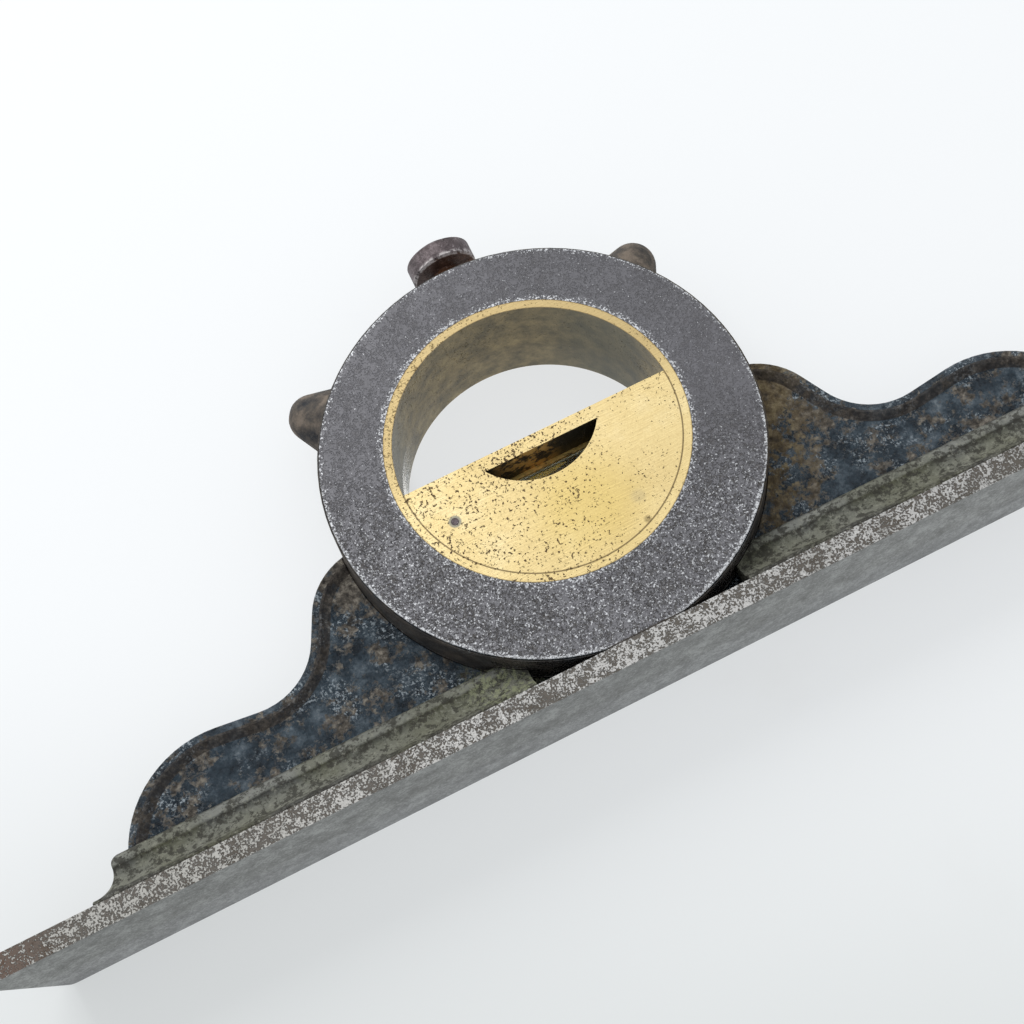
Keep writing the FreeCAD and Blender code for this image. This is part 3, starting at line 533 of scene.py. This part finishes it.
def ring_colour(tree, at):
    """Darker pitted face of the ring, with worn edges and painted glints along them and low
    down.
    """
    place = at["place"]
    near, far = EDGE_INSET
    outer = above(tree, at["ring_r"], RING_RADIUS - far, RING_RADIUS - near)
    inner = below(tree, at["bore_r"], BORE_RADIUS + near, BORE_RADIUS + far)
    low = below(tree, calc(tree, "MULTIPLY_ADD", at["x"], LOW_SLOPE, at["z"]), *LOW_PART)
    bright = either(tree, both(tree, outer, calc(tree, "MULTIPLY_ADD", low, 0.5, 0.85)),
                    calc(tree, "MULTIPLY", inner, 0.8), calc(tree, "MULTIPLY", low, 0.45))
    metal = ramp(tree, cloud(tree, place, 0.12, detail=4.0, seed=13.0),
                 ((0.3, paint(89, 88, 90)), (0.55, paint(98, 97, 100)),
                  (0.75, paint(108, 107, 110))))
    holes = both(tree, pits(tree, place, 0.2)[0],
                 calc(tree, "MULTIPLY_ADD", low, 0.7, 0.25))
    metal = blend(tree, holes, metal, paint(60, 56, 53))
    fine = cloud(tree, place, 2.2, detail=4.0, rough=0.7, seed=15.0)
    mottle = both(tree, above(tree, fine, 0.35, 0.7),
                  calc(tree, "MULTIPLY_ADD", low, 0.35, 0.25))
    metal = blend(tree, mottle, metal, paint(129, 128, 130))
    # Near-white specks along the edges and low down are partly wear and partly painted glints.
    grain = cloud(tree, place, 3.2, detail=3.0, seed=17.0)
    spark = above(tree, calc(tree, "MULTIPLY_ADD", bright, 0.19, grain), 0.65, 0.72)
    metal = coat(tree, metal, spark, 0.9, paint(206, 207, 208))
    crack = both(tree, above(tree, at["z"], PLATE_TOP - 0.05, PLATE_TOP),
                 below(tree, at["z"], PLATE_TOP + 0.15, PLATE_TOP + 0.4))
    return blend(tree, crack, metal, paint(58, 50, 42)), holes


# %% The underside of the sole
SHADED_BACK = (4.0, 11.5)


def under_colour(tree, at):
    """Plain ground sole, with painted shade darkening it towards the back, where the table is
    near.
    """
    fine = weighed(tree, cloud(tree, at["place"], 0.3, rough=0.7, seed=22.0), 0.5,
                   cloud(tree, at["place"], 2.4, detail=4.0, rough=0.7, seed=21.0), 0.5)
    grey = ramp(tree, fine, ((0.38, paint(98, 98, 95)), (0.5, paint(130, 131, 128)),
                             (0.6, paint(162, 163, 160))))
    # Darker towards the back: painted shade where the sole nears the table.
    return coat(tree, grey, above(tree, at["y"], *SHADED_BACK), 0.35, paint(108, 110, 109))


# %% [markdown]
# ## The casting's material
# The zones come together here. Colours are laid one over the next, in the order in which
# a maker would paint them, and the same masks set how metallic, rough and lumpy each zone
# is. Ground metal shines evenly, and pits and crust break its shine.

# %% The casting's material
LUMP_DEPTH = 0.0022


def frame_colour(tree, at, rim):
    """The casting's colour, zone by zone, with the masks of its rust and its pits."""
    colour, rust = japan_colour(tree, at)
    crust = crust_colour(tree, at)
    strip, strip_holes = strip_colour(tree, at)
    ring, ring_holes = ring_colour(tree, at)
    colour = coat(tree, colour, both(tree, rim, at["beyond"], at["high"]), 0.75, crust)
    colour = blend(tree, at["plinth"], colour, plinth_colour(tree, at))
    colour = coat(tree, colour, at["barrel"], 0.85, barrel_colour(tree, at))
    colour = coat(tree, colour, at["boss"], 0.8, boss_colour(tree, at))
    colour = coat(tree, colour, verdigris(tree, at), 0.85, paint(150, 154, 122))
    colour = blend(tree, at["plate"], colour, blend(tree, 0.5, crust, paint(60, 56, 50)))
    colour = blend(tree, at["strip"], colour, strip)
    colour = blend(tree, at["ring_face"], colour, ring)
    colour = blend(tree, at["under"], colour, under_colour(tree, at))
    holes = either(tree, both(tree, strip_holes, at["strip"]),
                   both(tree, ring_holes, at["ring_face"]))
    return colour, rust, holes


def old_iron():
    """Japanned and ground cast iron."""
    material, tree, shader = new_finish("old iron")
    at = frame_places(tree)
    rim = elsewhere(tree, at["panel"])
    colour, rust, holes = frame_colour(tree, at, rim)
    tree.links.new(colour, shader.inputs["Base Color"])
    ground = either(tree, at["strip"], at["ring_face"], at["under"])
    cast = elsewhere(tree, ground)
    bare = both(tree, ground, calc(tree, "MULTIPLY_ADD", holes, -0.8, 1.0))
    tree.links.new(calc(tree, "MULTIPLY", bare, 0.5), shader.inputs["Metallic"])
    crusty = either(tree, rust, both(tree, rim, at["high"]), at["plinth"])
    dull = calc(tree, "MULTIPLY_ADD", crusty, 0.55, 0.17)
    tree.links.new(weighed(tree, both(tree, dull, cast), 1.0, ground, 0.46),
                   shader.inputs["Roughness"])
    tree.links.new(calc(tree, "MULTIPLY_ADD", dull, -0.55, 0.6),
                   shader.inputs["Specular IOR Level"])
    smooth = either(tree, at["barrel"], at["plate"], at["boss"])
    lumps = both(tree, cloud(tree, at["place"], 0.45, detail=8.0, rough=0.68, seed=41.0),
                 cast, calc(tree, "MULTIPLY_ADD", smooth, -0.75, 1.0))
    relief(tree, shader, weighed(tree, lumps, 1.0, holes, -0.12), LUMP_DEPTH)
    return material


wear(["frame_casting"], old_iron())

# %% [markdown]
# ## Brass
# The drum's faces are old brass, rubbed bright, with faint lines from filing along the
# flat and dark pits in clusters. Inside the opening nobody rubs it, so it has gone dull
# and brown. The thin dark circles are dirt in the joints round the block and the drum.
# Two materials could do it, but the faces and the opening belong to the same pieces.

# %% Where each finish lies on the drum
PIN_MARK = (0.9, 1.25)
WARM_MIDDLE = (2.0, DRUM_HEIGHT - 15.0)
STAIN_MIDDLE = (9.5, 20.9)
SMUDGE_MIDDLE = (10.0, 25.3)
REFLECTION_MIDDLE = (-3.0, 38.5)
POCKET_FLOOR = (33.0, 34.0)
POCKET_TOP = (41.6, 41.8)
POCKET_HALF = (17.0, 17.5)
WORN_RIM_HEIGHT = (38.0, 52.0)
FRONT_HALF = (-1.0, 1.0)


def drum_places(tree):
    """Masks for the drum's marks, from the point's own place."""
    place, x, y, z = millimetres(tree)
    radius = from_centre(tree, x, z, DRUM_HEIGHT)
    front = below(tree, y, *FRONT_HALF)
    return {
        "place": place, "x": x, "z": z, "front": front,
        "face": above(tree, calc(tree, "ABSOLUTE", y), FACE - 0.08, FACE - 0.03),
        "near_flat": both(tree, above(tree, z, DRUM_HEIGHT - 8.0, DRUM_HEIGHT + 1.0),
                          below(tree, radius, BLOCK_RADIUS - 0.17, BLOCK_RADIUS + 0.03)),
        "warm": spot(tree, x, z, WARM_MIDDLE, 3.0, 13.0),
        "pin": both(tree, front, spot(tree, x, z, PIN_MIDDLE, *PIN_MARK)),
        "stain": both(tree, front, spot(tree, x, z, STAIN_MIDDLE, 0.3, 0.9)),
        "smudge": both(tree, front, spot(tree, x, z, SMUDGE_MIDDLE, 0.6, 1.8)),
        "reflection_streak": spot(tree, x, z, REFLECTION_MIDDLE, 3.0, 8.0),
        "worn_rim": both(tree, above(tree, z, *WORN_RIM_HEIGHT),
                         above(tree, radius, BLOCK_RADIUS + 0.03, BLOCK_RADIUS + 0.23)),
        "seam": both(tree, above(tree, radius, BLOCK_RADIUS - 0.19, BLOCK_RADIUS - 0.07),
                     below(tree, radius, BLOCK_RADIUS + 0.09, BLOCK_RADIUS + 0.21)),
        "bore_dirt": above(tree, radius, DRUM_RADIUS - 0.2, DRUM_RADIUS - 0.05),
        "pocket": both(tree, below(tree, z, *POCKET_TOP), above(tree, z, *POCKET_FLOOR),
                       below(tree, calc(tree, "ABSOLUTE", x), *POCKET_HALF)),
    }


# %% Bright brass on the faces
PITTED_SIDE = (-4.0, 12.0)


def face_colour(tree, at, lines):
    """Golden, filed and pitted brass with stains, and the mask of its pits."""
    place = at["place"]
    gold = ramp(tree, cloud(tree, place, 0.09, detail=4.0, seed=3.0),
                ((0.3, paint(220, 196, 136)), (0.55, paint(232, 209, 150)),
                 (0.75, paint(240, 222, 172))))
    gold = coat(tree, gold, above(tree, lines, 0.45, 0.7), 0.25, paint(188, 160, 104))
    gold = coat(tree, gold, at["warm"], 0.5, paint(212, 184, 92))
    left = below(tree, at["x"], *PITTED_SIDE)
    cluster = calc(tree, "MULTIPLY_ADD", cloud(tree, place, 0.14, detail=4.0, seed=4.0),
                   0.25, weighed(tree, at["near_flat"], 0.03, left, 0.055))
    speck = calc(tree, "ADD", cloud(tree, place, 2.5, detail=3.0, seed=6.0), cluster)
    holes = above(tree, calc(tree, "MULTIPLY_ADD", at["front"], 0.03, speck), 0.79, 0.83)
    grain = above(tree, cloud(tree, place, 3.4, detail=3.0, rough=0.7, seed=12.0),
                  0.3, 0.7)
    gold = coat(tree, gold, grain, 0.3, paint(186, 156, 98))
    gold = blend(tree, holes, gold, paint(84, 62, 34))
    for mask, share, mark in (("pin", 0.8, paint(112, 116, 112)),
                              ("smudge", 0.4, paint(176, 160, 122)),
                              ("stain", 0.6, paint(110, 92, 56)),
                              ("worn_rim", 0.7, paint(172, 148, 100)),
                              ("seam", 0.75, paint(96, 74, 40)),
                              ("bore_dirt", 0.6, paint(90, 70, 40))):
        gold = coat(tree, gold, at[mask], share, mark)
    return gold, holes


# %% Dull brass in the opening, and painted shade and reflection behind the window
PAINTED_SHEEN_SIDE = (-24.0, -16.0)
GREEN_SIDE = (8.0, 20.0)
GREEN_HEIGHT = (46.0, 54.0)


def opening_colour(tree, at):
    """Brown and greenish brass with a painted blue-grey sheen on the left, and in the vial's
    pocket black painted shade with a bright band of painted reflection.
    """
    place = at["place"]
    dull = ramp(tree, cloud(tree, place, 0.26, detail=7.0, rough=0.72, seed=8.0),
                ((0.34, paint(90, 83, 62)), (0.5, paint(130, 117, 84)),
                 (0.66, paint(164, 147, 106))))
    # A painted blue-grey sheen on the left of the opening.
    painted_sheen = below(tree, at["x"], *PAINTED_SHEEN_SIDE)
    dull = coat(tree, dull, painted_sheen, 0.6, paint(126, 132, 128))
    green = both(tree, above(tree, at["x"], *GREEN_SIDE),
                 above(tree, at["z"], *GREEN_HEIGHT))
    dull = coat(tree, dull, green, 0.6, paint(84, 88, 76))
    # The vial's pocket is painted black as painted shade, with a bright band of painted
    # reflection.
    reflection_streak = both(tree, at["reflection_streak"],
                  above(tree, cloud(tree, place, 0.5, detail=6.0, rough=0.7, seed=14.0),
                        0.44, 0.54))
    inside = blend(tree, reflection_streak, paint(32, 31, 27), paint(226, 182, 104))
    return coat(tree, dull, at["pocket"], 0.9, inside)


# %% The brass material
FILING_STRETCH = (0.25, 1.0, 4.0)
FILING_DEPTH = 0.0004


def old_brass():
    """Golden on the faces, dull in the opening, pitted and filed."""
    material, tree, shader = new_finish("old brass")
    at = drum_places(tree)
    stretched = node(tree, "ShaderNodeVectorMath", {0: at["place"], 1: FILING_STRETCH},
                     operation="MULTIPLY").outputs[0]
    lines = cloud(tree, stretched, 1.1, detail=4.0, seed=2.0)
    gold, holes = face_colour(tree, at, lines)
    tree.links.new(blend(tree, at["face"], opening_colour(tree, at), gold),
                   shader.inputs["Base Color"])
    shader.inputs["Metallic"].default_value = 0.4
    tree.links.new(calc(tree, "MULTIPLY_ADD", holes, 0.3, 0.42), shader.inputs["Roughness"])
    relief(tree, shader, weighed(tree, lines, 0.12, holes, -0.4), FILING_DEPTH)
    return material


wear(["drum_ring", "vial_block", "sleeve_plug_left", "sleeve_plug_right",
      "block_screw_left", "block_screw_right", "thrust_pad"], old_brass())

# %% [markdown]
# ## Patchy brass with painted light
# In the window the vial's sleeve shows as a curve of bright brass, its brightness partly
# painted light, with black patches. They could be a layer of their own, but a ramp with a
# steep step gives their sharp edges.

# %% The finish of the sleeve in the window
def stained_brass():
    """Brass in black and bright patches, the bright ones partly painted light."""
    material, tree, shader = new_finish("brass with painted light")
    patches = cloud(tree, millimetres(tree)[0], 0.4, detail=6.0, rough=0.7, seed=5.0)
    # The bright end of this ramp is raised as painted light, since the window gets little light.
    colour = ramp(tree, patches, ((0.34, paint(44, 39, 28)), (0.44, paint(150, 126, 76)),
                                  (0.54, paint(238, 204, 124))))
    tree.links.new(colour, shader.inputs["Base Color"])
    shader.inputs["Metallic"].default_value = 0.3
    shader.inputs["Roughness"].default_value = 0.5
    relief(tree, shader, patches, 0.0004)
    return material


wear(["vial_sleeve"], stained_brass())

# %% [markdown]
# ## Screws
# The thumb screw, the guide screws and the pin are mild steel gone purple-brown with age.
# Hands keep the lower edge of the head bright, and the neck below it is rusty. The edge
# could be picked out as faces, but masks by height and reach need none.

# %% The finish of the steel
HEAD_FOOT = 85.0
HEAD_RADIUS = 6.1
HEAD_ALONG = 1.5
NECK_FOOT = 78.0


def brown_steel():
    """Browned steel with bright worn points."""
    material, tree, shader = new_finish("brown steel")
    place, x, y, z = millimetres(tree)
    tone = cloud(tree, place, 0.7, detail=6.0, rough=0.7, seed=5.0)
    colour = ramp(tree, tone, ((0.3, paint(60, 52, 53)), (0.5, paint(90, 80, 81)),
                               (0.68, paint(124, 113, 114))))
    rusty = both(tree, above(tree, z, NECK_FOOT, NECK_FOOT + 1.0),
                 below(tree, z, HEAD_FOOT - 0.4, HEAD_FOOT + 0.4))
    brown = ramp(tree, tone, ((0.3, paint(62, 40, 28)), (0.6, paint(120, 82, 56))))
    colour = blend(tree, rusty, colour, brown)
    spark = above(tree, cloud(tree, place, 2.4, detail=3.0, seed=9.0), 0.62, 0.72)
    colour = coat(tree, colour, spark, 0.6, paint(190, 184, 184))
    reach = from_centre(tree, x, y, 0.0, HEAD_ALONG)
    lip = both(tree, above(tree, reach, HEAD_RADIUS - 0.6, HEAD_RADIUS - 0.2),
               above(tree, z, HEAD_FOOT - 0.5, HEAD_FOOT - 0.2),
               below(tree, z, HEAD_FOOT + 0.5, HEAD_FOOT + 1.0),
               above(tree, tone, 0.42, 0.55))
    colour = coat(tree, colour, lip, 0.75, paint(198, 192, 190))
    tree.links.new(colour, shader.inputs["Base Color"])
    shader.inputs["Metallic"].default_value = 0.6
    shader.inputs["Roughness"].default_value = 0.5
    relief(tree, shader, tone, 0.0005)
    return material


wear(["lock_screw", "guide_screw_left", "guide_screw_right", "plug_pin"], brown_steel())

# %% [markdown]
# ## Vial
# Glass and spirit are seen only through the small window and the slot in the flat. Glass
# could be a thin shell with an alpha value, but as a see-through solid it bends light.
# The spirit is a coloured one, and the plaster at the ends is chalky.

# %% Glass, spirit and plaster
def clear_stuff(name, colour, bend, rough):
    """A see-through solid with an old brown film in places."""
    material, tree, shader = new_finish(name)
    film = above(tree, cloud(tree, millimetres(tree)[0], 0.5, seed=3.0), 0.5, 0.75)
    tree.links.new(coat(tree, colour, film, 0.5, paint(96, 78, 44)),
                   shader.inputs["Base Color"])
    shader.inputs["Transmission Weight"].default_value = 0.9
    shader.inputs["IOR"].default_value = bend
    shader.inputs["Roughness"].default_value = rough
    return material


def chalk():
    """Plaster with a grain."""
    material, tree, shader = new_finish("chalk")
    grain = cloud(tree, millimetres(tree)[0], 1.5, seed=2.0)
    colour = ramp(tree, grain, ((0.3, paint(188, 180, 160)), (0.7, paint(220, 214, 198))))
    tree.links.new(colour, shader.inputs["Base Color"])
    shader.inputs["Roughness"].default_value = 0.9
    relief(tree, shader, grain, 0.0002)
    return material


wear(["vial_glass"], clear_stuff("vial glass", paint(226, 236, 230), bend=1.47, rough=0.05))
wear(["vial_spirit"], clear_stuff("amber spirit", paint(196, 150, 62), bend=1.36, rough=0.02))
wear(["plaster_seat_left", "plaster_seat_right"], chalk())

# %% [markdown]
# ## The divided scale
# An inclinometer is read against degrees. The photographed face is bare, so the scale is
# put on the back, where this kind often has it: short lines round the brass, figures on
# the block, and one index line on the iron ring. Each line could be cut with a boolean,
# but a cut line that is filled with black looks like a thin dark bar flush with the face.
# So a bar is placed once and spun round the drum's axis as copies, which keeps the steps
# exact.

# %% Black filling
MARK_RISE = 0.00003
AXIS = (0.0, FACE / 1000, DRUM_HEIGHT / 1000)


def black_fill():
    """Black wax in cut lines, a little worn."""
    material, tree, shader = new_finish("black fill")
    tone = cloud(tree, millimetres(tree)[0], 1.2, detail=4.0, seed=3.0)
    colour = ramp(tree, tone, ((0.35, paint(28, 25, 22)), (0.7, paint(66, 56, 42))))
    tree.links.new(colour, shader.inputs["Base Color"])
    shader.inputs["Roughness"].default_value = 0.7
    return material


BLACK_FILL = black_fill()

# %% Lines round the drum
LINE_EDGE = 0.000008
LINE_END = 24.2
FIRST_ANGLE = -90
SWEEP = 180


def bar(name, inner, outer, width):
    """One upright bar below the drum's axis, between two radii in millimetres."""
    bpy.ops.object.select_all(action="DESELECT")
    middle = DRUM_HEIGHT - (inner + outer) / 2
    bpy.ops.mesh.primitive_cube_add(size=0.001, location=(0, AXIS[1] + MARK_RISE / 2,
                                                          middle / 1000))
    piece = bpy.context.object
    piece.name = name
    piece.scale = (width, MARK_RISE * 1000, outer - inner)
    bpy.ops.object.transform_apply(location=True, rotation=True, scale=True)
    bpy.ops.object.mode_set(mode="EDIT")
    bpy.ops.mesh.select_all(action="SELECT")
    bpy.ops.mesh.bevel(offset=LINE_EDGE, segments=1)
    bpy.ops.object.mode_set(mode="OBJECT")
    piece.data.materials.append(BLACK_FILL)
    return piece


def spin_round(piece, step):
    """Turn a bar to the first angle and spin copies of it round the drum's axis."""
    bpy.ops.object.mode_set(mode="EDIT")
    bpy.ops.mesh.select_all(action="SELECT")
    bpy.ops.mesh.spin(steps=1, dupli=True, angle=math.radians(FIRST_ANGLE), center=AXIS,
                      axis=(0, 1, 0))
    bpy.ops.mesh.select_all(action="INVERT")
    bpy.ops.mesh.delete(type="VERT")
    bpy.ops.mesh.select_all(action="SELECT")
    bpy.ops.mesh.spin(steps=SWEEP // step, dupli=True, angle=math.radians(SWEEP),
                      center=AXIS, axis=(0, 1, 0))
    bpy.ops.mesh.select_all(action="SELECT")
    bpy.ops.mesh.normals_make_consistent(inside=False)
    bpy.ops.object.mode_set(mode="OBJECT")
    print(piece.name, len(piece.data.polygons), "faces")


def mark(piece, body):
    """Let a mark move with a body."""
    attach(piece, body)


short_lines = bar("scale_short_lines", inner=22.9, outer=LINE_END, width=0.16)
spin_round(short_lines, step=5)
mark(short_lines, "drum")
long_lines = bar("scale_long_lines", inner=21.6, outer=LINE_END, width=0.24)
spin_round(long_lines, step=30)
mark(long_lines, "drum")
mark(bar("index_line", inner=26.5, outer=31.0, width=0.35), "frame")

# %% [markdown]
# ## Figures
# The long lines stand at every 30 degrees, and plain figures name them. Figures could be
# a picture on the face, but text that is made a mesh stays sharp and is part of the model.

# %% Figures of the scale
FIGURE_REACH = 19.6
FIGURE_SIZE = 0.0026


def figure(text, angle):
    """A plain figure on the back of the block, its foot towards the rim."""
    bpy.ops.object.select_all(action="DESELECT")
    turn = math.radians(angle)
    place = (math.sin(turn) * FIGURE_REACH / 1000, AXIS[1] + MARK_RISE / 2,
             AXIS[2] - math.cos(turn) * FIGURE_REACH / 1000)
    bpy.ops.object.text_add(location=place)
    piece = bpy.context.object
    piece.name = "figure_%s_%s" % (text, "left" if angle < 0 else "right")
    piece.data.body = text
    piece.data.size = FIGURE_SIZE
    piece.data.extrude = MARK_RISE / 2
    piece.data.align_x = "CENTER"
    piece.data.align_y = "CENTER"
    bpy.ops.object.convert(target="MESH")
    piece = bpy.context.object
    piece.rotation_euler = (math.radians(90), -turn, math.radians(180))
    bpy.ops.object.transform_apply(location=True, rotation=True, scale=True)
    piece.data.materials.clear()
    piece.data.materials.append(BLACK_FILL)
    mark(piece, "drum")
    print(piece.name, len(piece.data.polygons), "faces")


for angle in (0, 30, 60, -30, -60):
    figure(str(abs(angle)), angle)

# %% [markdown]
# ## The table
# The instrument lies on its back on a white table, so the table is an upright plane
# behind it. A plain white sheet would be simpler, but it would hide the back and keep
# light from it. So it can be seen through from behind, and it stops no light ray that
# sets out within NEAR_BACK of it, because the object's back almost touches it. Part of
# its white is a glow that only the camera, mirrors and glass see. That keeps the table
# white without more light on the object, and the rest still takes the object's shadow.

# %% The table
TABLE_SIZE = 6.0
TABLE_GAP = 0.0001
NEAR_BACK = 0.0095
GLOW = 0.62
PAINTED_LIGHT_IN_OPENING = 0.16
OPENING_MIDDLE = (3.0, DRUM_HEIGHT + 10.0)
OPENING_EDGE = (22.0, 28.0)
SHADE_SLOPE = 0.45
SHADE_FALL = (-110.0, 30.0)


def white_table():
    """White from the front and not there from behind, with painted shade towards the lower left
    and painted light in the drum's opening.
    """
    material, tree, shader = new_finish("white table")
    place, x, _, z = millimetres(tree)
    marks = above(tree, cloud(tree, place, 0.02, seed=2.0), 0.6, 0.8)
    # Painted shade: the table's white is painted darker towards the lower left.
    painted_shade = below(tree, calc(tree, "MULTIPLY_ADD", x, SHADE_SLOPE, z), *SHADE_FALL)
    white = coat(tree, paint(241, 243, 244), marks, 0.3, paint(231, 231, 230))
    white = blend(tree, painted_shade, white, paint(216, 219, 218))
    tree.links.new(white, shader.inputs["Base Color"])
    shader.inputs["Roughness"].default_value = 0.6
    paths = node(tree, "ShaderNodeLightPath").outputs
    direct = either(tree, paths["Is Camera Ray"], paths["Is Glossy Ray"],
                    paths["Is Transmission Ray"])
    # Painted light: the glow is stronger where the table shows through the drum's opening,
    # though the ring shades it.
    in_opening = spot(tree, x, z, OPENING_MIDDLE, *OPENING_EDGE)
    share = calc(tree, "MULTIPLY_ADD", in_opening, PAINTED_LIGHT_IN_OPENING, GLOW)
    glow = node(tree, "ShaderNodeEmission", {"Color": white}).outputs[0]
    front = node(tree, "ShaderNodeMixShader", {0: calc(tree, "MULTIPLY", direct, share),
                                               1: shader.outputs[0], 2: glow}).outputs[0]
    near = calc(tree, "LESS_THAN", paths["Ray Length"], NEAR_BACK)
    back = node(tree, "ShaderNodeNewGeometry").outputs["Backfacing"]
    open_side = either(tree, back, both(tree, near,
                                        elsewhere(tree, paths["Is Camera Ray"])))
    clear = node(tree, "ShaderNodeBsdfTransparent").outputs[0]
    choice = node(tree, "ShaderNodeMixShader", {0: open_side, 1: front, 2: clear})
    tree.links.new(choice.outputs[0], tree.nodes["Material Output"].inputs["Surface"])
    return material


bpy.ops.object.select_all(action="DESELECT")
bpy.ops.mesh.primitive_plane_add(size=TABLE_SIZE,
                                 location=(0, FACE / 1000 + TABLE_GAP, 0),
                                 rotation=(math.radians(90), 0, 0))
table = bpy.context.object
bpy.ops.object.transform_apply(location=True, rotation=True, scale=True)
table.name = "table"
table.data.materials.append(white_table())
print("table normal", table.data.polygons[0].normal)

# %% [markdown]
# ## Lamps and sky
# Two broad square lamps, like windows, light the front and the back from above, and a
# pale sky fills the shade. Small lamps would be simpler, but their shadows are hard. The
# sky's own colour falls on the object, and what the camera and glass see of it is a
# plain pale grey.

# %% The lamps
AIM = (0, 0, 0.03)
LAMP_SIZE = 0.7


def area_lamp(name, place, power):
    """A square lamp aimed at the middle of the instrument."""
    data = bpy.data.lights.new(name, "AREA")
    data.size = LAMP_SIZE
    data.energy = power
    lamp = bpy.data.objects.new(name, data)
    lamp.location = place
    direction = Vector(AIM) - Vector(place)
    lamp.rotation_euler = direction.to_track_quat("-Z", "Y").to_euler()
    bpy.context.scene.collection.objects.link(lamp)
    print(name, "at", place, "with", power, "W")


area_lamp("window_light", (-0.25, -0.75, 0.85), power=9.0)
area_lamp("back_light", (0.4, 0.9, 0.7), power=7.0)

# %% The sky
SKY_COLOUR = (0.93, 0.96, 1.0, 1.0)
SKY_STRENGTH = 0.8
SEEN_COLOUR = (0.9, 0.9, 0.9, 1.0)

world = bpy.data.worlds.new("pale sky")
bpy.context.scene.world = world
world.use_nodes = True
sky = world.node_tree
sky_light = sky.nodes["Background"]
sky_light.inputs["Color"].default_value = SKY_COLOUR
sky_light.inputs["Strength"].default_value = SKY_STRENGTH
seen = node(sky, "ShaderNodeBackground", {"Color": SEEN_COLOUR, "Strength": 1.0})
paths = node(sky, "ShaderNodeLightPath").outputs
direct = either(sky, paths["Is Camera Ray"], paths["Is Transmission Ray"])
choice = node(sky, "ShaderNodeMixShader", {0: direct, 1: sky_light.outputs[0],
                                           2: seen.outputs[0]})
sky.links.new(choice.outputs[0], sky.nodes["World Output"].inputs["Surface"])
print("sky strength", SKY_STRENGTH)
